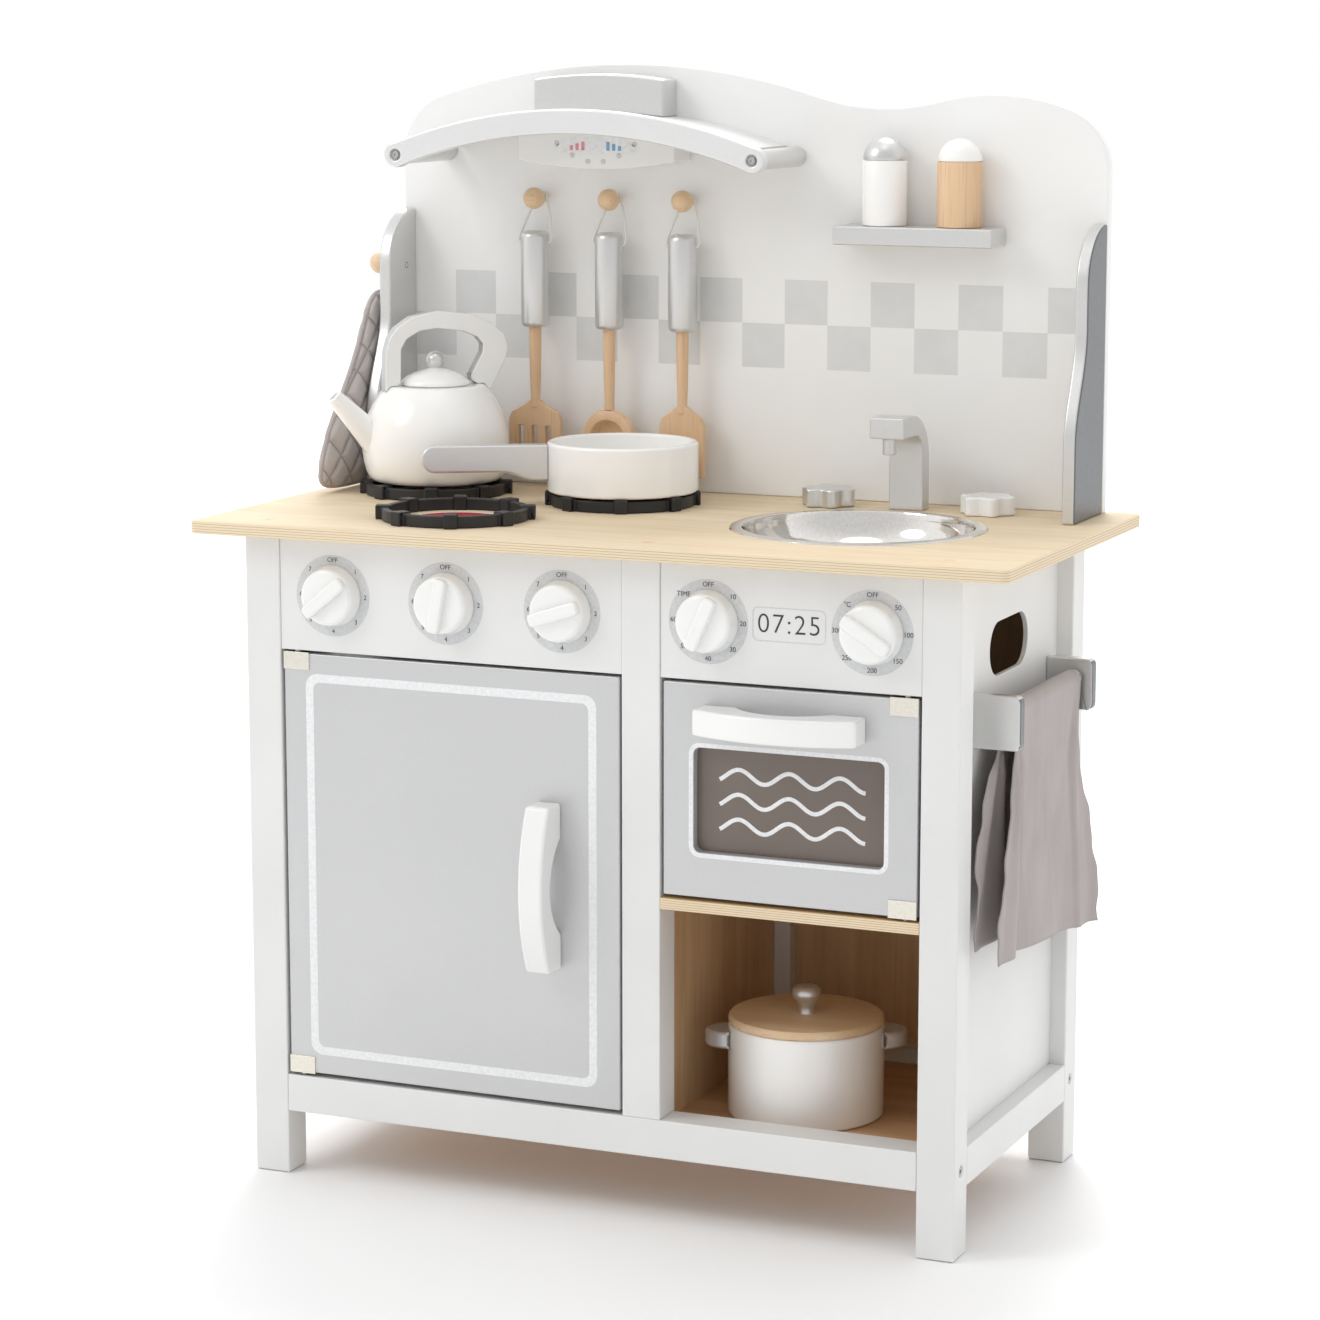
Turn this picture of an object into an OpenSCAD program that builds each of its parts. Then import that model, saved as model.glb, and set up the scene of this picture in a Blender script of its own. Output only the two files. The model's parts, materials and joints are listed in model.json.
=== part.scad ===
// Toy kitchen: a wooden cabinet with a cupboard, an oven and an open bay, a worktop with
// sink, tap and three burner rings, a back wall with hood, shelf and pegs, and its cookware.
// Every length is in millimetres. X runs to the right, Y to the back and Z up.

/* [Worktop] */
// Width of the worktop
worktop_w = 600; // [590:5:640]
// Depth of the worktop
worktop_d = 300; // [296:2:320]
// Thickness of the worktop
worktop_t = 9; // [8:1:12]
// Height of the worktop's upper face
worktop_z = 469; // [460:1:500]
// Radius of the worktop's corners
worktop_corner = 6; // [3:1:15]

/* [Cabinet] */
// Width over the corner posts
body_w = 528; // [520:2:540]
// Depth over the corner posts
body_d = 268; // [260:2:276]
// Width of a corner post
post_w = 27; // [24:1:30]
// Depth of a corner post
post_d = 26; // [24:1:28]
// Height of the rails' lower edge
rail_z = 46; // [30:1:60]
// Height of a rail
rail_h = 27; // [24:1:32]
// Thickness of the plywood panels
ply_t = 3.5; // [3:0.5:5]
// Centre of the middle posts, from the cabinet's centre
mid_post_x = 37.5; // [30:0.5:45]
// Width of the middle posts
mid_post_w = 28; // [24:1:30]
// Height of the knob panels
knob_panel_h = 80; // [70:1:85]
// Thickness of the knob panels and doors
board_t = 12; // [11:1:13]
// Height of the oven shelf's upper face
shelf_z = 229; // [200:1:240]
// Thickness of the oven shelf
shelf_t = 8; // [6:1:9]

/* [Doors] */
// Gap between a door and the posts beside it
door_gap = 2; // [2:0.1:3]
// How far the doors and knob panels lie behind the posts' faces
face_recess = 1; // [0.5:0.1:2]
// Distance of a hinge pin from the door's hinged edge
pin_inset = 9; // [8.5:0.1:10]
// Radius of a hinge pin
pin_r = 2.5; // [2:0.1:2.6]
// Radial clearance of turning pins and shafts
running_gap = 0.06; // [0.03:0.01:0.1]
// Length of a door handle
handle_len = 116; // [100:1:125]
// Width of a door handle
handle_w = 18; // [14:1:20]
// How far a door handle stands out
handle_reach = 33; // [28:1:36]

/* [Knobs] */
// Height of the dials' centres
dial_z = 420; // [415:1:422]
// Radius of a knob at its foot
knob_r = 21.5; // [18:0.5:23]
// Depth of a knob without its grip
knob_depth = 12; // [10:1:15]
// Radius of a knob's shaft
shaft_r = 4; // [3:0.5:5]

/* [Back wall] */
// Width of the back wall
wall_w = 550; // [540:2:560]
// Thickness of the back wall
wall_t = 9.5; // [8:0.5:12]
// Overall height of the kitchen
total_h = 781; // [760:1:800]
// Distance of the back wall's front from the worktop's centre
wall_front = 136.5; // [134:0.5:138]
// Depth of a side wing at its foot
wing_foot = 66.5; // [60:0.5:75]

/* [Sink and rings] */
// Radius of the sink's rim
sink_r = 89; // [84:1:92]
// Depth of the sink's bowl
sink_depth = 28; // [20:1:40]
// Outer radius of a burner ring
ring_r = 56; // [52:1:58]
// Height of a burner ring's lobes
ring_h = 10; // [8:1:12]

/* [Cookware] */
// Outer radius of the pan and of the pot
pan_r = 54.4; // [50:0.2:55]
// Height of the pan
pan_h = 36; // [30:1:45]
// Height of the pot without its lid
pot_h = 65; // [60:1:66]
// Largest radius of the kettle
kettle_r = 54; // [50:1:54]

/* [Hidden] */
$fn = 64;

// Shared colours
painted_white = [0.94, 0.94, 0.93];
metallic = [0.76, 0.77, 0.78];
birch = [0.9, 0.8, 0.65];
beech = [0.85, 0.66, 0.46];
taupe = [0.66, 0.62, 0.61];

// The kitchen is moved back so that its handles and worktop lie evenly about the origin
centre_y = (body_d / 2 - face_recess + handle_reach - worktop_d / 2) / 2;

// Planes of the cabinet
front_y = -body_d / 2;
back_y = body_d / 2;
side_x = body_w / 2;
inner_x = side_x - post_w;
under_z = worktop_z - worktop_t;
rail_top = rail_z + rail_h;
panel_z = under_z - knob_panel_h;
face_y = front_y + face_recess;
mid_left = mid_post_x - mid_post_w / 2;
mid_right = mid_post_x + mid_post_w / 2;
floor_z = rail_z + 15;
side_panel_x = side_x - post_w / 2;
partition_half = ply_t / 2;

// Doors
door_foot = rail_top + 3;
door_head = panel_z - 2;
oven_foot = shelf_z + 2.5;
cupboard_left = -inner_x + door_gap;
cupboard_right = mid_left - door_gap;
oven_left = mid_right + door_gap;
oven_right = inner_x - door_gap;
pin_y = face_y + 4.5;
cupboard_pin_x = cupboard_left + pin_inset;
oven_pin_x = oven_right - pin_inset;
pin_depth = 8;
cap_t = 0.8;
cap_w = 20;
cap_h = 12.5;
window_x = 143.6;
window_z = 298.4;
window_w = 135.7;
window_h = 71.7;
oven_handle_x = 140.5;
oven_handle_z = 355;
cupboard_handle_x = -31;
cupboard_handle_z = 230;

// Knobs: place of each dial along X
dial_x = [-195.5, -108.4, -20.8, 86.2, 202.2];

// Back wall: radii of its outline and the centre of the main hump
wall_corner_r = 45;
hump_x = -90;
hump_r = 500;
low_hump_x = 190;
low_hump_top = 761.5;
low_hump_r = 160;
dip_r = 170;
wall_half = wall_w / 2;
wing_t = 9.6;
wing_neck = 43;
wing_top = 673;

// Worktop fittings
sink_x = 142;
sink_y = 1;
sink_sheet = 1.2;
cutout_r = sink_r - 7.5;
tap_x = 141;
tap_spread = 60;
tap_y = 103;
faucet_w = 25.5;
ring_places = [[-210, 56], [-133, -67], [-57, 50]];
ring_top = worktop_z + ring_h;
lift_gap = 0.1;

// Hood: bow-shaped front bar on two dowels
hood_x = -97.5;
hood_r = 395;
hood_apex = 741.5;
hood_half = 139.7;
hood_front = 48;
hood_bar_t = 10;
hood_bar_h = 17.6;
hood_angle = asin(hood_half / hood_r);
hood_centre_z = hood_apex - hood_r;
hood_end_z = hood_centre_z + hood_r * cos(hood_angle);
dowel_r = 7.2;
hood_box_x = -103.2;

// Pegs and what hangs on them
peg_x = [-158.5, -98.4, -39.9];
peg_z = 683;
peg_ball_y = 118;
peg_ball_r = 8;
peg_stem_r = 3;
utensil_y = 119;
loop_r = 0.9;
mitt_peg_y = 119;
mitt_peg_z = 632;

// Towel rail
towel_x = 272;
towel_z = 360;
towel_bar_r = 5;
bracket_front = -77;
bracket_back = 84;
bracket_t = 9;

// Cookware places
pan_place = ring_places[2];
pan_turn = 30;
kettle_place = ring_places[0];
kettle_turn = 45;
kettle_foot = ring_top + lift_gap;
kettle_top = 549;
pot_place = [120.4, -36];
pot_turn = 23;

// Points of an arc about c from angle a0 to a1
function arc(c, r, a0, a1, n = 16) =
  [for (i = [0:n]) let (a = a0 + (a1 - a0) * i / n) [c[0] + r * cos(a), c[1] + r * sin(a)]];

// The upper point where circles of radii ra and rb about a and b cross
function upper_crossing(a, ra, b, rb) =
  let (d = norm(b - a), along = (ra * ra - rb * rb + d * d) / (2 * d))
  let (off = sqrt(ra * ra - along * along), u = (b - a) / d)
  a + along * u + off * [-u[1], u[0]];

// Direction from a to b in degrees
function heading(a, b) = atan2(b[1] - a[1], b[0] - a[0]);

module placed() {
  translate([0, centre_y, 0])
    children();
}

// A board lying flat with round corners
module flat_board(w, d, t, r) {
  linear_extrude(t) {
    square([w - 2 * r, d], center = true);
    square([w, d - 2 * r], center = true);
    for (sx = [-1, 1], sy = [-1, 1])
      translate([sx * (w / 2 - r), sy * (d / 2 - r)])
        circle(r);
  }
}

// An outline in X and Z, made d deep to the back
module upright(d) {
  translate([0, d, 0])
    rotate([90, 0, 0])
      linear_extrude(d)
        children();
}

// An outline in Y and Z, made w wide to the right
module sideways(w) {
  rotate([90, 0, 90])
    linear_extrude(w)
      children();
}

// Screw sockets in the corner posts' outer sides, at the height of the rails
module post_screws(r, depth) {
  for (sx = [-1, 1], y = [front_y + post_d / 2, back_y - post_d / 2])
    translate([sx * (side_x - depth), y, rail_z + rail_h / 2])
      rotate([0, sx * 90, 0])
        cylinder(r = r, h = depth + 0.01);
}

module corner_posts() {
  color(painted_white)
    placed()
      difference() {
        for (x = [-side_x, inner_x], y = [front_y, back_y - post_d])
          translate([x, y, 0])
            cube([post_w, post_d, under_z]);
        post_screws(3.6, 6);
      }
}

module middle_posts() {
  color(painted_white)
    placed() {
      translate([mid_left, front_y, rail_top])
        cube([mid_post_w, post_d, under_z - rail_top]);
      translate([mid_left, back_y - post_d, rail_top])
        cube([mid_post_w, post_d, under_z - rail_h - rail_top]);
    }
}

module front_rail() {
  color(painted_white)
    placed()
      difference() {
        translate([-inner_x, front_y, rail_z])
          cube([2 * inner_x, post_d, rail_h]);
        translate([cupboard_pin_x, pin_y, rail_top - pin_depth])
          cylinder(r = pin_r, h = pin_depth + 1);
      }
}

module side_and_back_rails() {
  color(painted_white)
    placed() {
      for (x = [-side_x, inner_x])
        translate([x, front_y + post_d, rail_z])
          cube([post_w, body_d - 2 * post_d, rail_h]);
      for (z = [rail_z, under_z - rail_h])
        translate([-inner_x, back_y - post_d, z])
          cube([2 * inner_x, post_d, rail_h]);
    }
}

// Each side panel has a slot with round ends, to lift the kitchen by
module side_panels() {
  hole_w = 82;
  hole_h = 37;
  hole_z = 396;
  color(painted_white)
    placed()
      for (sx = [-1, 1])
        translate([sx * side_panel_x - ply_t / 2, 0, 0])
          sideways(ply_t)
            difference() {
              translate([front_y + post_d, rail_top])
                square([body_d - 2 * post_d, under_z - rail_top]);
              translate([-(hole_w - hole_h) / 2, hole_z - hole_h / 2])
                square([hole_w - hole_h, hole_h]);
              for (s = [-1, 1])
                translate([s * (hole_w - hole_h) / 2, hole_z])
                  circle(hole_h / 2);
            }
}

module back_panels() {
  panel_top = under_z - rail_h;
  color(birch)
    placed()
      for (x = [[-inner_x, mid_left], [mid_right, inner_x]])
        translate([x[0], back_y - post_d / 2 - ply_t / 2, rail_top])
          cube([x[1] - x[0], ply_t, panel_top - rail_top]);
}

module partition_panel() {
  color(birch)
    placed()
      translate([mid_post_x - partition_half, front_y + post_d, floor_z])
        cube([ply_t, body_d - 2 * post_d, under_z - floor_z]);
}

module floor_panel() {
  color(birch)
    placed()
      translate([-inner_x, front_y + post_d, floor_z - ply_t])
        cube([2 * inner_x, body_d - 2 * post_d, ply_t]);
}

module oven_shelf() {
  shelf_left = mid_post_x + partition_half;
  shelf_right = side_panel_x - ply_t / 2;
  color(birch)
    placed()
      difference() {
        union() {
          translate([mid_right, front_y, shelf_z - shelf_t])
            cube([inner_x - mid_right, post_d + 1, shelf_t]);
          translate([shelf_left, front_y + post_d, shelf_z - shelf_t])
            cube([shelf_right - shelf_left, body_d - 2 * post_d, shelf_t]);
        }
        translate([oven_pin_x, pin_y, shelf_z - pin_depth + 2])
          cylinder(r = pin_r, h = pin_depth);
      }
}

// A board between two posts with a bore for each knob's shaft and one for a hinge pin
module knob_panel(left, right, dials, pin_x) {
  color(painted_white)
    placed()
      difference() {
        translate([left, face_y, panel_z])
          cube([right - left, board_t, knob_panel_h]);
        for (x = dials)
          translate([x, face_y - 1, dial_z])
            rotate([-90, 0, 0])
              cylinder(r = shaft_r + running_gap, h = board_t + 2);
        translate([pin_x, pin_y, panel_z - 1])
          cylinder(r = pin_r, h = pin_depth + 1);
      }
}

module hob_knob_panel() {
  knob_panel(-inner_x, mid_left, [dial_x[0], dial_x[1], dial_x[2]], cupboard_pin_x);
}

module oven_knob_panel() {
  knob_panel(mid_right, inner_x, [dial_x[3], dial_x[4]], oven_pin_x);
}

module worktop() {
  color(birch)
    placed()
      difference() {
        translate([0, 0, under_z])
          flat_board(worktop_w, worktop_d, worktop_t, worktop_corner);
        translate([sink_x, sink_y, under_z - 1])
          cylinder(r = cutout_r, h = worktop_t + 2);
        for (s = [-1, 1])
          translate([tap_x + s * tap_spread, tap_y, under_z - 1])
            cylinder(r = shaft_r + running_gap, h = worktop_t + 2);
      }
}

// The wall's outline is a chain of arcs that run into each other
module back_wall() {
  main = [hump_x, total_h - hump_r];
  low = [low_hump_x, low_hump_top - low_hump_r];
  left_x = -wall_half + wall_corner_r;
  right_x = wall_half - wall_corner_r;
  left_reach = hump_r - wall_corner_r;
  right_reach = low_hump_r - wall_corner_r;
  left = [left_x, main[1] + sqrt(pow(left_reach, 2) - pow(left_x - main[0], 2))];
  right = [right_x, low[1] + sqrt(pow(right_reach, 2) - pow(right_x - low[0], 2))];
  dip = upper_crossing(main, hump_r + dip_r, low, low_hump_r + dip_r);
  outline = concat(
    [[-wall_half, worktop_z]],
    arc(left, wall_corner_r, 180, heading(main, left), 14),
    arc(main, hump_r, heading(main, left), heading(main, dip), 24),
    arc(dip, dip_r, heading(main, dip) - 180, heading(low, dip) - 180, 12),
    arc(low, low_hump_r, heading(low, dip), heading(low, right), 12),
    arc(right, wall_corner_r, heading(low, right), 0, 14),
    [[wall_half, worktop_z]]
  );
  color(painted_white)
    placed()
      translate([0, wall_front, 0])
        upright(wall_t)
          polygon(outline);
}

// A side wing: deep at its foot, an S-curve to a narrow neck and a round head
module wing(x) {
  curve_z = 522;
  curve_h = 78;
  head_h = 42;
  steps = 10;
  foot_y = wall_front - wing_foot;
  slim = wing_foot - wing_neck;
  neck = [for (i = [0:steps])
    [foot_y + slim * (1 - cos(180 * i / steps)) / 2, curve_z + curve_h * i / steps]];
  head = [for (a = [0:9:90])
    [wall_front - wing_neck * cos(a), wing_top - head_h + head_h * sin(a)]];
  color(metallic)
    placed()
      translate([x, 0, 0])
        sideways(wing_t)
          polygon(concat([[wall_front, worktop_z], [foot_y, worktop_z]], neck, head));
}

module left_wing() {
  wing(-wall_half);
}

module right_wing() {
  wing(wall_half - wing_t);
}

// A pressed steel bowl with a flat rim that rests on the worktop
module sink() {
  bowl_r = sink_r - 9;
  bottom_r = 58;
  rim_top = worktop_z + sink_sheet;
  steps = 12;
  inner = [for (i = [0:steps]) let (a = 90 * i / steps)
    [bottom_r + (bowl_r - bottom_r) * cos(a), rim_top - sink_depth * sin(a)]];
  outer = [for (i = [0:steps]) let (a = 90 - 90 * i / steps)
    [bottom_r + (bowl_r - bottom_r + sink_sheet) * cos(a),
     worktop_z - sink_depth * sin(a)]];
  color("silver")
    placed()
      translate([sink_x, sink_y, 0])
        rotate_extrude($fn = 96)
          polygon(concat(
            [[0, worktop_z - sink_depth], [0, rim_top - sink_depth]],
            [for (i = [steps:-1:0]) inner[i]],
            [[sink_r, rim_top], [sink_r, worktop_z]],
            [for (i = [steps:-1:0]) outer[i]]
          ));
}

// Cast burner rings with eight lobes that carry the pan
module burner_rings() {
  wall = 5.5;
  lobe_w = 9.5;
  lobe_l = 11;
  lobes = 8;
  turn = 180 / lobes;
  color([0.12, 0.12, 0.12])
    placed()
      for (p = ring_places)
        translate([p[0], p[1], worktop_z]) {
          difference() {
            cylinder(r = ring_r - 4, h = ring_h - 1.5);
            translate([0, 0, -1])
              cylinder(r = ring_r - 4 - wall, h = ring_h + 2);
          }
          for (k = [0:lobes - 1])
            rotate([0, 0, turn + k * 360 / lobes])
              translate([ring_r - lobe_l, -lobe_w / 2, 0])
                cube([lobe_l, lobe_w, ring_h]);
        }
}

// The faucet is a bent board with a round nozzle under its spout
module faucet() {
  column_front = 99;
  column_back = 113.5;
  spout_front = 58;
  spout_top = 539;
  spout_under = 524;
  outer_r = 34;
  inner_r = 14;
  nozzle_y = 65;
  outline = concat(
    [[column_front, worktop_z], [column_back, worktop_z]],
    arc([column_back - outer_r, spout_top - outer_r], outer_r, 0, 90, 12),
    [[spout_front, spout_top], [spout_front, spout_under]],
    arc([column_front - inner_r, spout_under - inner_r], inner_r, 90, 0, 8)
  );
  color(metallic)
    placed() {
      translate([tap_x - faucet_w / 2, 0, 0])
        sideways(faucet_w)
          polygon(outline);
      translate([tap_x, nozzle_y, spout_under - 11.5])
        cylinder(r = 5, h = 12);
    }
}

// A ring sector about the hood's centre, between radii r0 and r1 and within half angle a
module hood_sector(r0, r1, a) {
  reach = 2 * hood_r;
  intersection() {
    difference() {
      circle(r1, $fn = 180);
      circle(r0, $fn = 180);
    }
    polygon([[0, 0], [-reach * sin(a), reach * cos(a)], [reach * sin(a), reach * cos(a)]]);
  }
}

module hood_bar() {
  end_r = 9.2;
  color(painted_white)
    placed()
      translate([hood_x, hood_front, hood_centre_z])
        difference() {
          upright(hood_bar_t) {
            hood_sector(hood_r - hood_bar_h / 2, hood_r + hood_bar_h / 2, hood_angle);
            for (s = [-1, 1])
              translate([s * hood_half, hood_end_z - hood_centre_z])
                circle(end_r);
          }
          for (s = [-1, 1])
            translate([s * hood_half, -1, hood_end_z - hood_centre_z])
              rotate([-90, 0, 0])
                cylinder(r = 4, h = 4);
        }
}

module hood_dowels() {
  back_of_bar = hood_front + hood_bar_t;
  color(metallic)
    placed()
      for (s = [-1, 1])
        translate([hood_x + s * hood_half, back_of_bar, hood_end_z])
          rotate([-90, 0, 0])
            cylinder(r = dowel_r, h = wall_front - back_of_bar);
}

module hood_canopy() {
  back_of_bar = hood_front + hood_bar_t;
  color(painted_white)
    placed()
      translate([hood_x, back_of_bar, hood_centre_z])
        upright(wall_front - back_of_bar)
          hood_sector(hood_r + 1, hood_r + 4.5, hood_angle - 1.5);
}

// The chimney stands on the canopy
module hood_chimney() {
  w = 102.5;
  d = 26.5;
  top_z = 774;
  top_r = 335;
  color(metallic)
    placed()
      translate([0, wall_front - d, 0])
        upright(d)
          difference() {
            intersection() {
              translate([hood_box_x - w / 2, hood_end_z])
                square([w, top_z - hood_end_z]);
              translate([hood_box_x, top_z - top_r])
                circle(top_r, $fn = 180);
            }
            translate([hood_x, hood_centre_z])
              circle(hood_r + 4.5, $fn = 180);
          }
}

// The control box hangs under the canopy
module hood_control_box() {
  w = 124.6;
  d = 30.5;
  under_r = 323;
  bottom = 705.5;
  color(painted_white)
    placed()
      translate([0, wall_front - d, 0])
        upright(d)
          intersection() {
            translate([hood_box_x - w / 2, bottom])
              square([w, 50]);
            translate([hood_box_x, bottom + under_r])
              circle(under_r, $fn = 180);
            translate([hood_x, hood_centre_z])
              circle(hood_r + 1, $fn = 180);
          }
}

module spice_shelf() {
  color(metallic)
    placed()
      translate([81.8, wall_front - 33, 655.5])
        cube([119, 33, 13.5]);
}

// A wooden ball on a stem, standing out along Y
module peg(stem) {
  sphere(peg_ball_r, $fn = 32);
  rotate([-90, 0, 0])
    cylinder(r = peg_stem_r, h = stem);
}

module wall_pegs() {
  mitt_stem = 12;
  color(beech)
    placed() {
      for (x = peg_x)
        translate([x, peg_ball_y, peg_z])
          peg(wall_front - peg_ball_y);
      translate([-wall_half - mitt_stem, mitt_peg_y, mitt_peg_z])
        rotate([0, 0, -90])
          peg(mitt_stem);
    }
}

// Two plates on the right side panel and the bar between them
module towel_rail() {
  reach = 34;
  plate_h = 37;
  corner = 5;
  wall_x = side_panel_x + ply_t / 2;
  plate_z = towel_z - plate_h + 14;
  bar_front = bracket_front + bracket_t;
  color(metallic)
    placed() {
      for (y = [bracket_front, bracket_back])
        translate([wall_x, y, plate_z])
          upright(bracket_t) {
            square([reach - corner, plate_h]);
            translate([0, corner])
              square([reach, plate_h - 2 * corner]);
            for (z = [corner, plate_h - corner])
              translate([reach - corner, z])
                circle(corner);
          }
      translate([towel_x, bar_front, towel_z])
        rotate([-90, 0, 0])
          cylinder(r = towel_bar_r, h = bracket_back - bar_front);
    }
}

module screws() {
  color("silver")
    placed() {
      post_screws(3.6, 5.5);
      for (s = [-1, 1])
        translate([hood_x + s * hood_half, hood_front + 0.6, hood_end_z])
          rotate([-90, 0, 0])
            cylinder(r = 4, h = 2.4);
    }
}

// Steel pins that the doors turn on, set in the rail, the shelf and the knob panels
module hinge_pins() {
  reach = 8;
  color("silver")
    placed() {
      translate([cupboard_pin_x, pin_y, rail_top - pin_depth])
        cylinder(r = pin_r, h = pin_depth + 3 + reach);
      translate([cupboard_pin_x, pin_y, door_head - reach])
        cylinder(r = pin_r, h = reach + 2 + pin_depth);
      translate([oven_pin_x, pin_y, shelf_z - pin_depth + 2])
        cylinder(r = pin_r, h = pin_depth + 0.5 + reach);
      translate([oven_pin_x, pin_y, door_head - reach])
        cylinder(r = pin_r, h = reach + 2 + pin_depth);
    }
}

// Magnet blocks on the middle post, behind the free edges of the doors
module door_catches() {
  size = [10, 10, 30];
  catch_y = face_y + board_t + 0.5;
  color(birch)
    placed() {
      translate([mid_left - size[0], catch_y, 215])
        cube(size);
      translate([mid_right, catch_y, 290])
        cube(size);
    }
}

// A door leaf with blind bores for its hinge pins
module leaf(left, right, foot, head, pin_x) {
  bore = 12;
  difference() {
    translate([left, face_y, foot])
      cube([right - left, board_t, head - foot]);
    for (z = [foot - 1, head - bore])
      translate([pin_x, pin_y, z])
        cylinder(r = pin_r + running_gap, h = bore + 1);
  }
}

module cupboard_door() {
  color(metallic)
    placed()
      leaf(cupboard_left, cupboard_right, door_foot, door_head, cupboard_pin_x);
}

module window_hole(grow, corner) {
  w = window_w + 2 * grow;
  h = window_h + 2 * grow;
  translate([window_x, window_z]) {
    square([w - 2 * corner, h], center = true);
    square([w, h - 2 * corner], center = true);
    for (sx = [-1, 1], sz = [-1, 1])
      translate([sx * (w / 2 - corner), sz * (h / 2 - corner)])
        circle(corner);
  }
}

// The oven door has a window hole, rebated at the back for the pane
module oven_door() {
  color(metallic)
    placed()
      difference() {
        leaf(oven_left, oven_right, oven_foot, door_head, oven_pin_x);
        translate([0, face_y - 1, 0])
          upright(board_t + 2)
            window_hole(0, 5);
        translate([0, face_y + board_t - 4, 0])
          upright(5)
            window_hole(6, 8);
      }
}

module oven_window() {
  color([0.35, 0.28, 0.25, 0.5])
    placed()
      translate([0, face_y + board_t - 4, 0])
        upright(2)
          window_hole(6, 8);
}

// A bow handle, hollowed between its two feet; its length runs along Z
module bow_handle() {
  foot = 25;
  end_depth = 20;
  half = handle_len / 2;
  bow = handle_reach - end_depth;
  bow_r = (half * half + bow * bow) / (2 * bow);
  gap_half = half - foot;
  gap_sag = handle_reach - 16;
  gap_r = (gap_half * gap_half + gap_sag * gap_sag) / (2 * gap_sag);
  translate([-handle_w / 2, 0, 0])
    sideways(handle_w)
      difference() {
        intersection() {
          translate([-handle_reach, -half])
            square([handle_reach, handle_len]);
          translate([bow_r - handle_reach, 0])
            circle(bow_r, $fn = 180);
        }
        translate([gap_r - gap_sag, 0])
          circle(gap_r, $fn = 90);
      }
}

module cupboard_handle() {
  color(painted_white)
    placed()
      translate([cupboard_handle_x, face_y, cupboard_handle_z])
        bow_handle();
}

module oven_handle() {
  color(painted_white)
    placed()
      translate([oven_handle_x, face_y, oven_handle_z])
        rotate([0, 90, 0])
          bow_handle();
}

// A folded nickel plate round a door's corner, with a hole for the pin
module hinge_caps(pin_x, left, foot, head) {
  color([0.8, 0.78, 0.74])
    placed()
      for (z = [foot - cap_t, head + cap_t - cap_h])
        difference() {
          translate([left, face_y - cap_t, z])
            cube([cap_w, board_t + 2 * cap_t, cap_h]);
          translate([left - 1, face_y, foot])
            cube([cap_w + 2, board_t, head - foot]);
          translate([pin_x, pin_y, z - 1])
            cylinder(r = pin_r + 0.4, h = cap_h + 2);
        }
}

module cupboard_hinge_caps() {
  hinge_caps(cupboard_pin_x, cupboard_left, door_foot, door_head);
}

module oven_hinge_caps() {
  hinge_caps(oven_pin_x, oven_right - cap_w, oven_foot, door_head);
}

// A knob on its shaft; the raised grip is turned by an angle about Y
module knob(x, turn) {
  grip_w = 10;
  grip_h = 5;
  tail = 16;
  color(painted_white)
    placed()
      translate([x, face_y - lift_gap, dial_z]) {
        rotate([90, 0, 0])
          rotate_extrude()
            polygon([[0, 0], [knob_r, 0], [knob_r, knob_depth - 4],
                     [knob_r - 1.5, knob_depth - 1], [knob_r - 4, knob_depth],
                     [0, knob_depth]]);
        rotate([-90, 0, 0])
          cylinder(r = shaft_r, h = tail);
        rotate([0, turn, 0])
          translate([-knob_r + 4, -knob_depth - grip_h, -grip_w / 2])
            cube([2 * knob_r - 8, grip_h + 1, grip_w]);
      }
}

module hob_knob_1() {
  knob(dial_x[0], -40);
}

module hob_knob_2() {
  knob(dial_x[1], -80);
}

module hob_knob_3() {
  knob(dial_x[2], -20);
}

module timer_knob() {
  knob(dial_x[3], -65);
}

module oven_knob() {
  knob(dial_x[4], 30);
}

// A tap head with six lobes, on a shaft through the worktop
module tap(s) {
  mean_r = 17.6;
  wave = 2.4;
  head_h = 13.5;
  placed()
    translate([tap_x + s * tap_spread, tap_y, worktop_z + lift_gap]) {
      linear_extrude(head_h)
        polygon([for (a = [0:5:355]) (mean_r + wave * cos(6 * a)) * [cos(a), sin(a)]]);
      translate([0, 0, -14])
        cylinder(r = shaft_r, h = 15);
    }
}

module cold_tap() {
  color(metallic)
    tap(-1);
}

module hot_tap() {
  color(painted_white)
    tap(1);
}

// A round shell between an outer and an inner outline
module turned(points) {
  rotate_extrude($fn = 96)
    polygon(points);
}

// The kettle's body is hollow; its spout leans out from the shoulder
module kettle() {
  foot = kettle_foot;
  wall = 5;
  neck_r = 36;
  lid_r = 25.5;
  outer = [[46, 0], [50.5, 6], [53.2, 15], [54, 27], [52.4, 40], [48.4, 52], [42, 63],
           [neck_r, kettle_top - foot]];
  inner = [for (p = outer) [p[0] - wall, foot + max(p[1], wall)]];
  color(painted_white)
    placed()
      translate([kettle_place[0], kettle_place[1], 0])
        rotate([0, 0, kettle_turn]) {
          difference() {
            union() {
              turned(concat([[0, foot]], [for (p = outer) [p[0], foot + p[1]]],
                            [[0, kettle_top]]));
              translate([-45, 0, foot + 29])
                rotate([0, -43, 0])
                  cylinder(r1 = 11.5, r2 = 5.5, h = 48);
            }
            turned(concat([[0, foot + wall]], [for (i = [0:6]) inner[i]],
                          [[inner[6][0] - 4, kettle_top - 4], [0, kettle_top - 4]]));
            translate([0, 0, kettle_top - 6])
              cylinder(r = lid_r - 3, h = 10);
          }
        }
}

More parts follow.
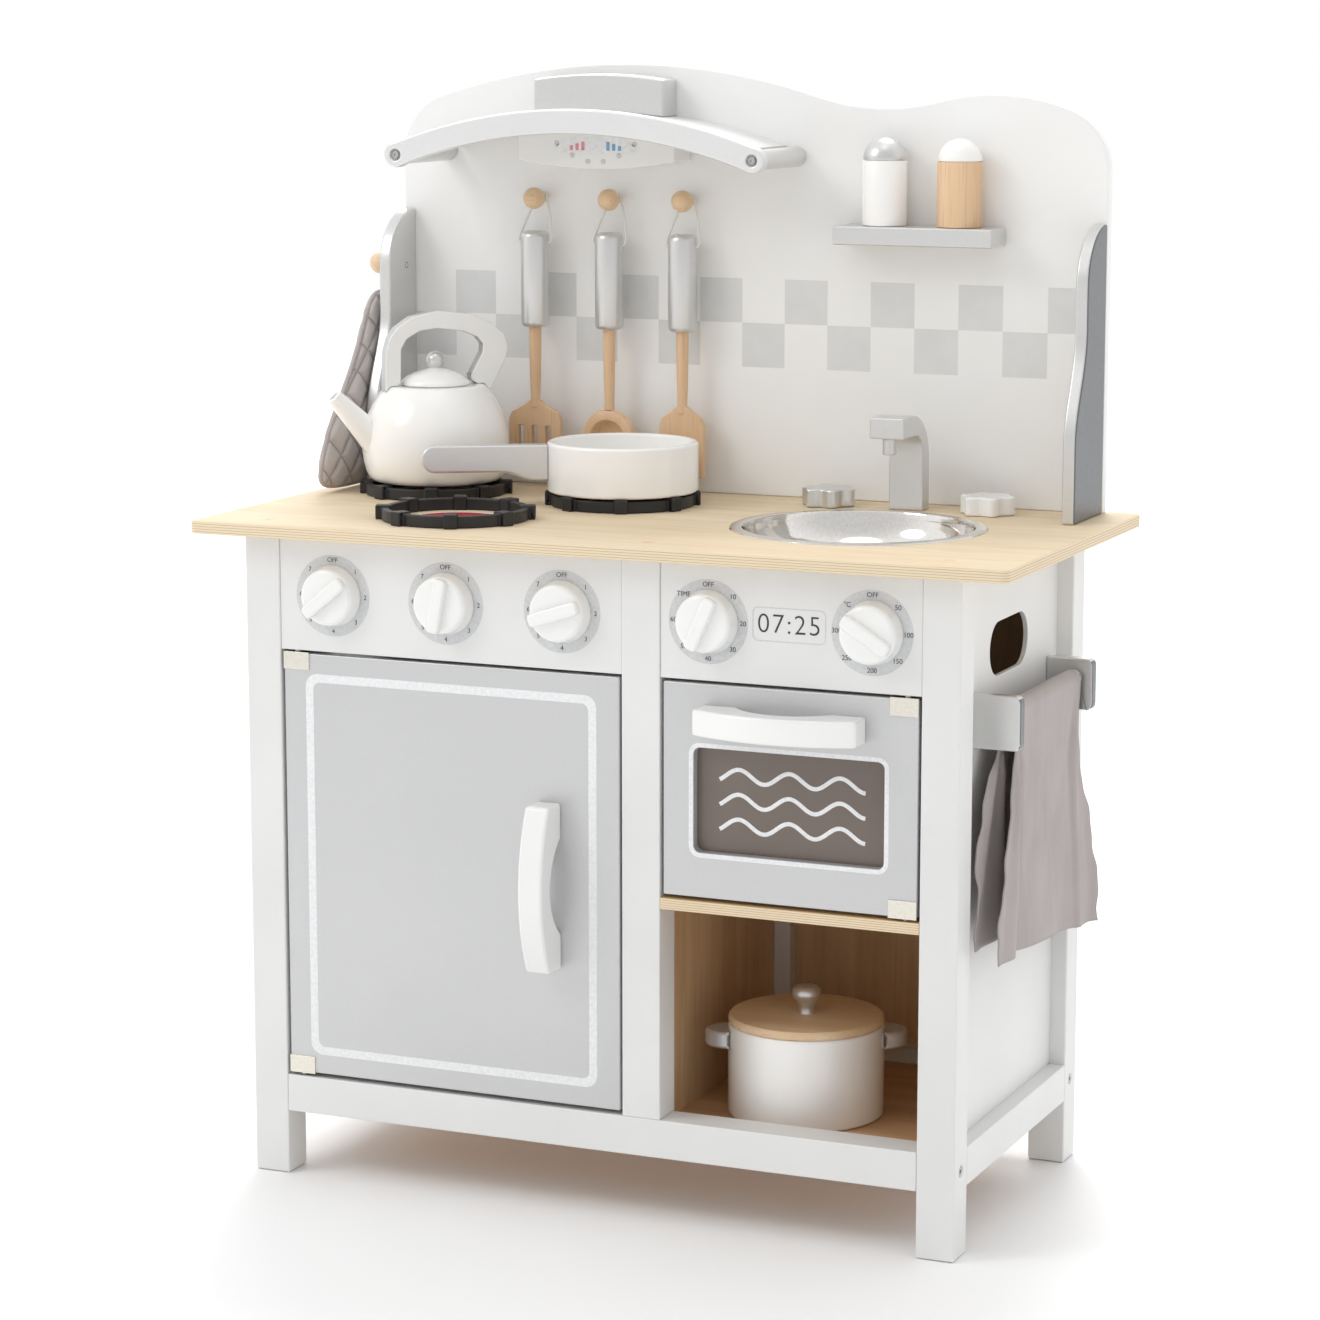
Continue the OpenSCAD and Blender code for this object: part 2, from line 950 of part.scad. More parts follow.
// The kettle's handle is a bent board over the lid; its back end swings out
module kettle_handle() {
  t = 11;
  outer = [[-40, 543], [-39.5, 574], [-36.5, 584], [-31, 591.5], [-19, 599.5], [0, 603.5],
           [25, 600.5], [42.5, 593.5], [52, 585], [55, 576], [53.5, 567.5], [40.5, 543]];
  inner = [[24.5, 553], [35, 572], [35.5, 578], [31, 583.5], [20, 588], [0, 590.5],
           [-13, 589], [-23, 583.5], [-27.5, 576], [-28, 551]];
  color(painted_white)
    placed()
      translate([kettle_place[0], kettle_place[1], 0])
        rotate([0, 0, kettle_turn])
          difference() {
            translate([0, -t / 2, 0])
              upright(t)
                polygon(concat(outer, inner));
            turned([[0, 530], [48.5, 530], [42.2, kettle_foot + 63],
                    [36.2, kettle_top], [26.5, kettle_top + 0.1], [26.5, kettle_top + 7],
                    [0, kettle_top + 12]]);
          }
}

module kettle_lid() {
  lid_r = 25.5;
  z = kettle_top + lift_gap;
  color(painted_white)
    placed()
      translate([kettle_place[0], kettle_place[1], 0]) {
        turned([[0, z - 4], [20, z - 4], [20, z], [lid_r, z], [lid_r, z + 2],
                [22, z + 5.5], [14, z + 9.5], [5, z + 12], [0, z + 12.3]]);
        translate([0, 0, z + 18])
          sphere(6.8, $fn = 40);
      }
}

module cup(r, wall, z, h) {
  difference() {
    translate([0, 0, z])
      cylinder(r = r, h = h);
    translate([0, 0, z + wall])
      cylinder(r = r - wall, h = h);
  }
}

module pan() {
  color(painted_white)
    placed()
      translate([pan_place[0], pan_place[1], 0])
        cup(pan_r, 5, ring_top + lift_gap, pan_h);
}

// The pan's handle is a board on edge, with a round tip and a deeper root
module pan_handle() {
  t = 12;
  top_z = 513.5;
  tip = 145;
  root = 52;
  tip_r = 9.8;
  outline = concat(
    [[-root, top_z]],
    arc([-tip + tip_r, top_z - tip_r], tip_r, 90, 270, 14),
    [[-root - 36, top_z - 2 * tip_r]],
    [for (i = [1:6]) [-root - 36 + 4 * i, top_z - 2 * tip_r - 3 * (1 - cos(30 * i))]],
    [[-root, top_z - 2 * tip_r - 6]]
  );
  color(metallic)
    placed()
      translate([pan_place[0], pan_place[1], 0])
        rotate([0, 0, pan_turn])
          difference() {
            translate([0, -t / 2, 0])
              upright(t)
                polygon(outline);
            cylinder(r = pan_r, h = 600);
          }
}

// The pot has a half-round grip on each side
module pot() {
  grip_r = 16;
  grip_h = 12;
  grip_z = floor_z + pot_h - 10.5;
  color(painted_white)
    placed()
      translate([pot_place[0], pot_place[1], 0])
        difference() {
          union() {
            translate([0, 0, floor_z + lift_gap])
              cylinder(r = pan_r, h = pot_h);
            rotate([0, 0, pot_turn])
              for (s = [-1, 1])
                translate([s * pan_r, 0, grip_z - grip_h / 2])
                  cylinder(r = grip_r, h = grip_h);
          }
          translate([0, 0, floor_z + lift_gap + 5])
            cylinder(r = pan_r - 5, h = pot_h);
        }
}

module pot_lid() {
  z = floor_z + pot_h + 2 * lift_gap;
  color(beech)
    placed()
      translate([pot_place[0], pot_place[1], 0])
        turned([[0, z - 4], [pan_r - 6, z - 4], [pan_r - 6, z], [pan_r - 0.4, z],
                [pan_r, z + 1], [pan_r, z + 4.5], [pan_r - 1.5, z + 6], [6, z + 6],
                [5.5, z + 9], [6, z + 12], [9, z + 16], [10.5, z + 19], [10, z + 23],
                [7, z + 25.5], [0, z + 26.5]]);
}

// A turned shaker with a domed head
module shaker(x) {
  r = 16;
  y = 120;
  z = 669 + lift_gap;
  body_h = 46;
  head_h = 16;
  placed()
    translate([x, y, z])
      turned(concat([[0, 0], [r, 0], [r, body_h], [r - 0.8, body_h]],
                    [for (a = [0:10:90]) [(r - 0.8) * cos(a), body_h + head_h * sin(a)]]));
}

module salt_shaker() {
  color(painted_white)
    shaker(115.3);
}

module pepper_shaker() {
  color(beech)
    shaker(171.4);
}

// A utensil's thick painted grip, its wooden shaft and a cord hole near the top
module utensil_grip() {
  grip_r = 10.5;
  top = 659;
  len = 71;
  shaft = 4.5;
  head_z = 529;
  difference() {
    union() {
      translate([0, 0, top - len])
        cylinder(r = grip_r, h = len);
      translate([0, 0, head_z])
        cylinder(r = shaft, h = top - len - head_z + 1);
    }
    translate([-20, 0, 650])
      rotate([0, 90, 0])
        cylinder(r = 1.4, h = 40);
  }
}

// Flat blade of a turner, w wide, with slots
module blade(w, slots) {
  t = 6;
  foot = 482;
  shoulder = 525;
  neck = 533;
  translate([0, -t / 2, 0])
    upright(t)
      difference() {
        polygon([[-w / 2, foot], [w / 2, foot], [w / 2, shoulder], [4.5, neck],
                 [-4.5, neck], [-w / 2, shoulder]]);
        for (k = [0:slots - 1])
          translate([(k - (slots - 1) / 2) * 11 - 2.2, foot + 5])
            square([4.4, 28]);
      }
}

module slotted_turner() {
  color(beech)
    placed()
      translate([peg_x[0], utensil_y, 0]) {
        utensil_grip();
        blade(42, 3);
      }
}

module turner() {
  color(beech)
    placed()
      translate([peg_x[2], utensil_y, 0]) {
        utensil_grip();
        blade(35, 0);
      }
}

module spoon() {
  bowl_r = 21.5;
  bowl_z = 508;
  color(beech)
    placed()
      translate([peg_x[1], utensil_y, 0]) {
        utensil_grip();
        difference() {
          translate([0, 5, bowl_z])
            rotate([90, 0, 0])
              cylinder(r = bowl_r, h = 10);
          translate([0, -5, bowl_z])
            rotate([-90, 0, 0])
              cylinder(r1 = 13.5, r2 = 8, h = 6);
        }
      }
}

// Rings of points round a cord's route; the route never runs along Y
function cord_rings(route, r, sides = 8) =
  let (last = len(route) - 1)
  [for (i = [0:last])
    let (t = route[min(i + 1, last)] - route[max(i - 1, 0)],
         n = cross(t, [0, 1, 0]), u = n / norm(n), w = cross(t, u) / norm(t))
    [for (k = [0:sides - 1]) let (a = 360 * k / sides)
      route[i] + r * (u * cos(a) + w * sin(a))]];

// A cord swept along a route
module cord(route, r, sides = 8) {
  rings = cord_rings(route, r, sides);
  count = len(route);
  polyhedron(
    points = [for (ring = rings) each ring],
    faces = concat(
      [[for (k = [sides - 1:-1:0]) k]],
      [[for (k = [0:sides - 1]) (count - 1) * sides + k]],
      [for (i = [0:count - 2], k = [0:sides - 1])
        [i * sides + k, i * sides + (k + 1) % sides,
         (i + 1) * sides + (k + 1) % sides, (i + 1) * sides + k]]
    )
  );
}

// The loop that a utensil hangs by: out of the grip's cord hole, up and over its peg
loop_climb = [[7, 0, -33], [10, 0, -33], [12.2, 0, -32.4], [13, 0.4, -30.5], [12.8, 1.4, -28],
              [12, 3, -24.5], [10.8, 5, -20], [9.4, 7, -15], [7.8, 9, -10], [6, 10.6, -5]];
loop_over = 4.4;

module utensil_loop(n) {
  top = [for (a = [0:18:180]) [loop_over * cos(a), 11.5, loop_over * sin(a)]];
  down = [for (i = [len(loop_climb) - 1:-1:0])
    [-loop_climb[i][0], loop_climb[i][1], loop_climb[i][2]]];
  color("white")
    placed()
      translate([peg_x[n], utensil_y, peg_z])
        cord(concat(loop_climb, top, down), loop_r);
}

module slotted_turner_loop() {
  utensil_loop(0);
}

module spoon_loop() {
  utensil_loop(1);
}

module turner_loop() {
  utensil_loop(2);
}

// A cloth hung over the towel bar, wider at its hems than at the bar
module towel() {
  cloth = 2.2;
  gap = 0.4;
  middle = (bracket_front + bracket_t + bracket_back) / 2;
  bar_half = 66;
  hem_half = 98;
  flare_z = 332;
  hem_z = 182;
  fold_r = towel_bar_r + gap + cloth;
  color(taupe)
    placed()
      translate([towel_x, middle, 0]) {
        for (x = [-fold_r, fold_r - cloth])
          translate([x, 0, 0])
            sideways(cloth)
              polygon([[-hem_half, hem_z], [hem_half, hem_z], [bar_half, flare_z],
                       [bar_half, towel_z], [-bar_half, towel_z], [-bar_half, flare_z]]);
        translate([0, -bar_half, towel_z])
          upright(2 * bar_half)
            difference() {
              circle(fold_r);
              circle(fold_r - cloth);
              translate([-2 * fold_r, -2 * fold_r])
                square([4 * fold_r, 2 * fold_r]);
            }
      }
}

// A quilted mitt that hangs by a tape outside the left wing
module oven_mitt() {
  thick = 14;
  wing_gap = 2;
  tape_t = 2;
  hole_r = 8.6;
  tape_w = 2;
  inner_face = -wall_half - wing_gap;
  outline = [[19, 474], [60, 472], [110, 472], [130, 480], [136, 500], [134, 560],
             [129, 604], [125, 612], [104, 612], [92, 602], [61, 552], [30, 515], [16, 488]];
  color(taupe)
    placed() {
      translate([inner_face - thick, 0, 0])
        sideways(thick)
          polygon(outline);
      translate([inner_face - tape_t, 0, 0])
        sideways(tape_t)
          difference() {
            union() {
              translate([mitt_peg_y, mitt_peg_z])
                circle(hole_r + tape_w);
              translate([mitt_peg_y - 6, 608])
                square([12, mitt_peg_z - hole_r - 608]);
            }
            translate([mitt_peg_y, mitt_peg_z])
              circle(hole_r);
          }
    }
}

corner_posts();
middle_posts();
front_rail();
side_and_back_rails();
side_panels();
back_panels();
partition_panel();
floor_panel();
oven_shelf();
hob_knob_panel();
oven_knob_panel();
worktop();
back_wall();
left_wing();
right_wing();
sink();
burner_rings();
faucet();
hood_bar();
hood_dowels();
hood_canopy();
hood_chimney();
hood_control_box();
spice_shelf();
wall_pegs();
towel_rail();
screws();
hinge_pins();
door_catches();
cupboard_door();
cupboard_handle();
cupboard_hinge_caps();
oven_door();
oven_window();
oven_handle();
oven_hinge_caps();
hob_knob_1();
hob_knob_2();
hob_knob_3();
timer_knob();
oven_knob();
cold_tap();
hot_tap();
kettle();
kettle_handle();
kettle_lid();
pan();
pan_handle();
pot();
pot_lid();
salt_shaker();
pepper_shaker();
slotted_turner();
slotted_turner_loop();
spoon();
spoon_loop();
turner();
turner_loop();
towel();
oven_mitt();
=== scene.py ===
"""Looks of a wooden toy kitchen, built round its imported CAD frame. Lengths are in metres."""
import json
import math

import bmesh
import bpy
from mathutils import Matrix, Vector


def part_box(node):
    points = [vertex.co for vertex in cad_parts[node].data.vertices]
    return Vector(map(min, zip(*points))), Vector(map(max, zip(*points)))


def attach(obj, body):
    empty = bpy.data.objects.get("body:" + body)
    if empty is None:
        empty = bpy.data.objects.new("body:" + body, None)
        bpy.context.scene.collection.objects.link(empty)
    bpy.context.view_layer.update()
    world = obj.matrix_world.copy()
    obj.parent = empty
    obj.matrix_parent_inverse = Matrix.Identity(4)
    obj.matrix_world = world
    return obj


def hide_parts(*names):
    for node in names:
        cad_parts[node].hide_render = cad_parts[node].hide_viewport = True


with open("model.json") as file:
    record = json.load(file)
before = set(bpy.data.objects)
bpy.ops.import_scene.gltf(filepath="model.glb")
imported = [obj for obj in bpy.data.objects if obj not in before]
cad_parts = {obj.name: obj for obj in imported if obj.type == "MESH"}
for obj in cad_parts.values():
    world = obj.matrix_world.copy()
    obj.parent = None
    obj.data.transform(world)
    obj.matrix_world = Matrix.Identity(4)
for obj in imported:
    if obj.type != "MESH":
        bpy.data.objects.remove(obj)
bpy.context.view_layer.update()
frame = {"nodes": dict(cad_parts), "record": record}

MM = 0.001
record = frame["record"]
BODY_OF = {node: body for body, nodes in record["behaviour"]["bodies"].items() for node in nodes}


def low(node):
    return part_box(node)[0]


def high(node):
    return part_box(node)[1]


def middle(node):
    return (low(node) + high(node)) / 2


def size(node):
    return high(node) - low(node)


def above(node, height):
    """The point at the given height on the upright axis of a node."""
    return (middle(node).x, middle(node).y, height)


# ---------------- camera and lights

def add_camera():
    data = bpy.data.cameras.new("camera")
    data.lens = 103.7
    data.sensor_width = 36
    data.clip_end = 20
    camera = add_object("camera", data)
    camera.location = (1.0466, -2.4238, 0.8245)
    camera.rotation_euler = (math.radians(80.2), 0, math.radians(23.41))
    bpy.context.scene.camera = camera


def add_area_light(name, place, aim, width, watts):
    data = bpy.data.lights.new(name, "AREA")
    data.shape = "DISK"
    data.size = width
    data.energy = watts
    light = add_object(name, data)
    light.location = place
    light.rotation_euler = (Vector(aim) - Vector(place)).to_track_quat("-Z", "Y").to_euler()


def studio_world():
    """A white light tent that is dimmer towards its open front."""
    world = bpy.data.worlds.new("studio")
    world.use_nodes = True
    tree = world.node_tree
    direction = add_node(tree, "ShaderNodeTexCoord").outputs["Generated"]
    facing = add_node(tree, "ShaderNodeVectorMath", {0: direction, 1: (0.4, -0.92, 0.0)},
                      operation="DOT_PRODUCT")
    reach = {"Value": facing.outputs["Value"], "From Min": 0.1, "From Max": 0.9, "To Min": 1.0,
             "To Max": 0.7}
    dim = add_node(tree, "ShaderNodeMapRange", reach, interpolation_type="SMOOTHSTEP")
    background = tree.nodes["Background"]
    background.inputs["Color"].default_value = (1.0, 1.0, 1.0, 1)
    tree.links.new(dim.outputs[0], background.inputs["Strength"])
    return world


def add_studio():
    scene = bpy.context.scene
    scene.view_settings.view_transform = "Standard"
    scene.world = studio_world()
    add_area_light("key", (-1.7, -1.7, 2.3), (0, 0, 0.5), 1.2, 16)
    add_area_light("top", (0.3, -0.7, 3.0), (0, 0, 0.4), 1.4, 3)
    add_area_light("back", (-0.2, 1.8, 3.2), (0, 0, 0.2), 1.2, 34)
    add_area_light("far_floor", (-2.0, 5.0, 3.0), (-2.4, 4.6, 0), 3.0, 150)
    bpy.ops.mesh.primitive_plane_add(size=14, location=(0, 0, -0.0004))
    floor = bpy.context.object
    floor.name = "floor"
    floor.data.materials.append(floor_look())


# ---------------- material tools

def srgb(red, green, blue):
    """A shader colour from the usual 0 to 255 values."""
    def linear(value):
        share = value / 255
        return share / 12.92 if share < 0.04 else ((share + 0.055) / 1.055) ** 2.4
    return (linear(red), linear(green), linear(blue), 1.0)


def fill(tree, socket, value):
    """Links a socket to another one, or sets it to a plain value."""
    if isinstance(value, bpy.types.NodeSocket):
        tree.links.new(value, socket)
    else:
        socket.default_value = value


def add_node(tree, kind, inputs=None, **settings):
    made = tree.nodes.new(kind)
    for key, value in settings.items():
        setattr(made, key, value)
    for key, value in (inputs or {}).items():
        fill(tree, made.inputs[key], value)
    return made


class Look:
    """A material with short calls that add nodes to it."""

    def __init__(self, name, **sockets):
        self.material = bpy.data.materials.new(name)
        self.material.use_nodes = True
        self.tree = self.material.node_tree
        self.shader = self.tree.nodes["Principled BSDF"]
        for socket, value in sockets.items():
            self.shader.inputs[socket.replace("_", " ")].default_value = value

    def node(self, kind, inputs=None, **settings):
        return add_node(self.tree, kind, inputs, **settings)

    def coords(self, scale=(1, 1, 1)):
        source = self.node("ShaderNodeTexCoord").outputs["Object"]
        return self.node("ShaderNodeMapping", {"Vector": source, "Scale": scale}).outputs[0]

    def axes(self):
        source = self.node("ShaderNodeTexCoord").outputs["Object"]
        return self.node("ShaderNodeSeparateXYZ", {0: source}).outputs

    def noise(self, scale, detail=3.0, stretch=(1, 1, 1), distortion=0.0):
        inputs = {"Vector": self.coords(stretch), "Scale": scale, "Detail": detail,
                  "Distortion": distortion}
        return self.node("ShaderNodeTexNoise", inputs).outputs[0]

    def math(self, operation, first, second=0.0):
        return self.node("ShaderNodeMath", {0: first, 1: second}, operation=operation).outputs[0]

    def times(self, first, second):
        return self.math("MULTIPLY", first, second)

    def plus(self, first, second):
        return self.math("ADD", first, second)

    def ramp(self, factor, low_at, low_colour, high_at, high_colour):
        made = self.node("ShaderNodeValToRGB", {"Fac": factor})
        first, last = made.color_ramp.elements
        first.position, first.color = low_at, low_colour
        last.position, last.color = high_at, high_colour
        return made.outputs[0]

    def mix(self, factor, first, second, blend="MIX"):
        return self.node("ShaderNodeMix", {0: factor, 6: first, 7: second}, data_type="RGBA",
                         blend_type=blend).outputs[2]

    def between(self, factor, lowest, highest):
        inputs = {"Value": factor, "To Min": lowest, "To Max": highest}
        return self.node("ShaderNodeMapRange", inputs).outputs[0]

    def use(self, colour=None, roughness=None, height=None, depth=0.1 * MM, strength=0.5):
        """Joins what was made to the shader; height makes a bump of the given depth."""
        if colour is not None:
            self.tree.links.new(colour, self.shader.inputs["Base Color"])
        if roughness is not None:
            self.tree.links.new(roughness, self.shader.inputs["Roughness"])
        if height is not None:
            inputs = {"Height": height, "Distance": depth, "Strength": strength}
            bump = self.node("ShaderNodeBump", inputs).outputs[0]
            self.tree.links.new(bump, self.shader.inputs["Normal"])
        return self.material


# ---------------- materials

def floor_look():
    look = Look("pale_floor", Roughness=0.7)
    tone = look.ramp(look.noise(2.0), 0.3, srgb(246, 246, 246), 0.7, srgb(250, 250, 250))
    return look.use(tone)


def paint_look(name, light, shade, gloss=0.42, **sockets):
    """Satin paint on wood: faint grain, brushed unevenness and soft changes of tone."""
    look = Look(name, **sockets)
    broad = look.noise(9.0, 4.0)
    grain = look.noise(60.0, 4.0, stretch=(1, 1, 0.12))
    fine = look.noise(700.0, 2.0)
    tone = look.ramp(broad, 0.35, shade, 0.65, light)
    rough = look.between(grain, gloss - 0.07, gloss + 0.09)
    height = look.plus(look.times(grain, 0.6), look.times(fine, 0.4))
    return look.use(tone, rough, height, 0.12 * MM, 0.35)


def flake_look(name, light, shade, metallic=0.55, gloss=0.4):
    """Paint with fine metal flakes that catch the light one by one."""
    look = Look(name, Metallic=metallic, Coat_Weight=0.12, Coat_Roughness=0.3)
    flakes = look.node("ShaderNodeTexVoronoi", {"Vector": look.coords(), "Scale": 1500.0})
    sparkle = look.times(flakes.outputs["Distance"], 1.4)
    broad = look.noise(7.0, 3.0)
    tone = look.mix(look.between(broad, 0.0, 0.5), light, shade)
    tone = look.mix(look.between(sparkle, 0.0, 0.35), tone, shade)
    rough = look.between(look.noise(240.0, 2.0), gloss - 0.06, gloss + 0.1)
    return look.use(tone, rough, look.noise(1100.0, 2.0), 0.06 * MM, 0.4)


def grain_nodes(look, light, dark, along):
    """Colour, pores and figure of straight-grained wood along axis 0, 1 or 2."""
    stretch = [1.0, 1.0, 1.0]
    stretch[along] = 0.05
    streaks = look.noise(70.0, 5.0, stretch, 0.2)
    stretch[along] = 0.16
    figure = look.noise(11.0, 3.0, stretch, 0.9)
    stretch[along] = 0.03
    pores = look.noise(620.0, 2.0, stretch)
    tone = look.ramp(streaks, 0.28, dark, 0.66, light)
    shaded = look.mix(look.between(figure, 0.0, 0.45), tone, dark)
    marks = look.ramp(pores, 0.3, (0.72, 0.62, 0.5, 1), 0.42, (1, 1, 1, 1))
    return look.mix(0.5, shaded, marks, "MULTIPLY"), pores, streaks


def wood_look(name, light, dark, along=2, gloss=0.45):
    look = Look(name)
    tone, pores, streaks = grain_nodes(look, light, dark, along)
    rough = look.between(streaks, gloss - 0.08, gloss + 0.12)
    return look.use(tone, rough, pores, 0.1 * MM, 0.5)


def plywood_look(name, light, dark, along, foot, thickness, plies=5):
    """Veneer on the faces, and a stack of light and dark plies along the edges."""
    look = Look(name, Specular_IOR_Level=0.25)
    tone, pores, streaks = grain_nodes(look, light, dark, along)
    height = look.math("DIVIDE", look.math("SUBTRACT", look.axes()[2], foot), thickness)
    turn = look.times(height, plies * math.pi)
    band = look.math("ABSOLUTE", look.math("SINE", turn))
    edge = look.ramp(band, 0.12, srgb(186, 156, 120), 0.5, srgb(236, 220, 192))
    normal = look.node("ShaderNodeTexCoord").outputs["Normal"]
    upright = look.math("ABSOLUTE", look.node("ShaderNodeSeparateXYZ", {0: normal}).outputs[2])
    on_edge = look.math("LESS_THAN", upright, 0.6)
    edge = look.mix(look.between(streaks, 0.0, 0.3), edge, dark)
    rough = look.between(streaks, 0.55, 0.7)
    return look.use(look.mix(on_edge, tone, edge), rough, pores, 0.1 * MM, 0.4)


def tiled_wall_look():
    """Off-white paint with two rows of printed grey squares across the front."""
    tile = 33.2 * MM
    first_x = -265.6 * MM
    foot_z = 563 * MM
    columns = 16
    look = Look("tiled_wall")
    x, _, z = look.axes()
    column = look.math("FLOOR", look.math("DIVIDE", look.math("SUBTRACT", x, first_x), tile))
    row_at = look.math("DIVIDE", look.math("SUBTRACT", z, foot_z), tile * 0.97)
    row = look.math("FLOOR", row_at)
    odd = look.math("FLOORED_MODULO", look.plus(column, row), 2.0)
    on = look.math("LESS_THAN", odd, 0.5)
    for value, limit in ((row, 1.5), (column, columns - 0.5)):
        on = look.times(on, look.math("LESS_THAN", value, limit))
        on = look.times(on, look.math("GREATER_THAN", value, -0.5))
    normal = look.node("ShaderNodeTexCoord").outputs["Normal"]
    facing = look.node("ShaderNodeSeparateXYZ", {0: normal}).outputs[1]
    on = look.times(on, look.math("LESS_THAN", facing, -0.5))
    paint = look.ramp(look.noise(9.0, 4.0), 0.35, srgb(241, 241, 240), 0.65, srgb(245, 245, 244))
    print_tone = look.ramp(look.noise(60.0), 0.3, srgb(219, 220, 220), 0.7, srgb(224, 225, 225))
    fine = look.noise(600.0, 2.0)
    rough = look.between(look.noise(40.0, 3.0), 0.38, 0.52)
    return look.use(look.mix(on, paint, print_tone), rough, fine, 0.08 * MM, 0.35)


def metal_look(name, tone, gloss, bump=0.35):
    look = Look(name, Metallic=1.0)
    scratches = look.noise(500.0, 3.0)
    smudge = look.noise(18.0, 3.0)
    shade = tuple(0.9 * c for c in tone[:3]) + (1.0,)
    rough = look.between(smudge, gloss * 0.8, gloss * 1.35)
    return look.use(look.ramp(scratches, 0.3, shade, 0.7, tone), rough, scratches, 0.03 * MM, bump)


def lacquer_look(name, light, shade, gloss=0.2):
    """Thick glossy lacquer with the slight orange peel of spray paint."""
    look = Look(name, Coat_Weight=0.4, Coat_Roughness=0.08)
    tone = look.ramp(look.noise(12.0, 3.0), 0.35, shade, 0.65, light)
    rough = look.between(look.noise(55.0, 2.0), gloss - 0.05, gloss + 0.08)
    return look.use(tone, rough, look.noise(90.0, 2.0), 0.08 * MM, 0.1)


def plastic_look():
    look = Look("black_plastic")
    tone = look.ramp(look.noise(30.0), 0.3, srgb(24, 24, 25), 0.7, srgb(38, 38, 39))
    rough = look.between(look.noise(90.0), 0.34, 0.5)
    return look.use(tone, rough, look.noise(900.0, 2.0), 0.1 * MM, 0.5)


def pane_look():
    look = Look("smoked_pane", Transmission_Weight=0.55, IOR=1.46)
    tone = look.ramp(look.noise(6.0), 0.3, srgb(158, 143, 134), 0.7, srgb(168, 153, 143))
    return look.use(tone, look.between(look.noise(25.0), 0.03, 0.09))


def ink_look(name, tone, gloss=0.45):
    look = Look(name)
    shade = tuple(0.88 * c for c in tone[:3]) + (1.0,)
    colour = look.ramp(look.noise(400.0, 2.0), 0.3, shade, 0.65, tone)
    return look.use(colour, look.between(look.noise(120.0), gloss - 0.08, gloss + 0.08))


def cloth_look(name, light, shade, pitch):
    """Plain weave in the hanging plane: threads over and under each other, soft nap."""
    look = Look(name, Sheen_Weight=0.25, Sheen_Roughness=0.5)
    _, y, z = look.axes()
    turns = 2 * math.pi / pitch
    across = look.math("SINE", look.times(y, turns))
    down = look.math("SINE", look.times(z, turns))
    weave = look.between(look.times(across, down), 0.0, 1.0)
    slub = look.noise(180.0, 3.0, (1, 1, 0.15))
    broad = look.noise(16.0, 4.0)
    tone = look.ramp(broad, 0.3, shade, 0.7, light)
    threads = look.ramp(slub, 0.3, (0.94, 0.94, 0.94, 1), 0.6, (1, 1, 1, 1))
    wrinkles = look.noise(26.0, 4.0, (1, 1, 0.7), 0.8)
    tone = look.mix(0.8, tone, threads, "MULTIPLY")
    height = look.plus(weave, look.times(slub, 0.4))
    height = look.plus(height, look.times(wrinkles, 14.0))
    return look.use(tone, look.between(slub, 0.8, 0.95), height, 0.25 * MM, 0.6)


QUILT_PITCH = 30 * MM


def quilted_look(name, light, shade):
    """Woven cotton stitched through its padding in diamonds."""
    look = Look(name, Sheen_Weight=0.25, Sheen_Roughness=0.5)
    _, y, z = look.axes()
    seams = []
    for operation in ("ADD", "SUBTRACT"):
        turn = look.times(look.math(operation, y, z), math.pi / QUILT_PITCH)
        seams.append(look.math("ABSOLUTE", look.math("SINE", turn)))
    seam = look.math("MINIMUM", *seams)
    puffed = look.math("POWER", look.math("MINIMUM", look.times(seam, 1.6), 1.0), 0.5)
    slub = look.noise(190.0, 3.0)
    tone = look.ramp(look.noise(16.0, 4.0), 0.3, shade, 0.7, light)
    # The seams are darker: the stitch thread, and painted shade in the pressed-in creases along
    # them
    seam_thread_and_shade = look.ramp(seam, 0.03, (0.72, 0.72, 0.72, 1), 0.16, (1, 1, 1, 1))
    tone = look.mix(1.0, tone, seam_thread_and_shade, "MULTIPLY")
    height = look.plus(puffed, look.times(slub, 0.12))
    return look.use(tone, look.between(slub, 0.75, 0.95), height, 2.2 * MM, 0.8)


def string_look():
    look = Look("white_string")
    wave = look.node("ShaderNodeTexWave", {"Vector": look.coords(), "Scale": 260.0})
    wave.bands_direction = "DIAGONAL"
    tone = look.ramp(wave.outputs[1], 0.2, srgb(214, 212, 206), 0.8, srgb(245, 244, 240))
    return look.use(tone, look.between(look.noise(300.0), 0.7, 0.9), wave.outputs[1], 0.2 * MM)


white_paint = paint_look("white_paint", srgb(231, 231, 230), srgb(226, 226, 225))
pearl_paint = flake_look("pearl_paint", srgb(238, 238, 238), srgb(216, 217, 218), 0.4, 0.34)
silver_paint = flake_look("silver_paint", srgb(232, 232, 231), srgb(200, 200, 199), 0.8, 0.32)
door_paint = flake_look("door_paint", srgb(212, 212, 213), srgb(190, 191, 192), 0.5, 0.36)
# A darker copy of the silver paint: painted shade and dark reflection, used on the faces that look
# to +X
painted_shade_silver = flake_look("painted_shade_silver", srgb(126, 128, 130), srgb(98, 100, 102), 0.5, 0.4)
gloss_white = lacquer_look("gloss_white", srgb(243, 243, 242), srgb(240, 240, 238))
ware_white = lacquer_look("ware_white", srgb(251, 250, 248), srgb(249, 248, 245), 0.22)
beech = wood_look("beech", srgb(236, 204, 168), srgb(218, 180, 140))
pale_beech = wood_look("pale_beech", srgb(236, 210, 176), srgb(222, 190, 152), 0)
inner_ply = wood_look("inner_ply", srgb(230, 200, 162), srgb(206, 170, 128))
floor_ply = wood_look("floor_ply", srgb(218, 180, 140), srgb(192, 150, 112), 0)
top_ply = plywood_look("top_ply", srgb(234, 217, 190), srgb(222, 201, 168), 0,
                       low("worktop").z, high("worktop").z - low("worktop").z)
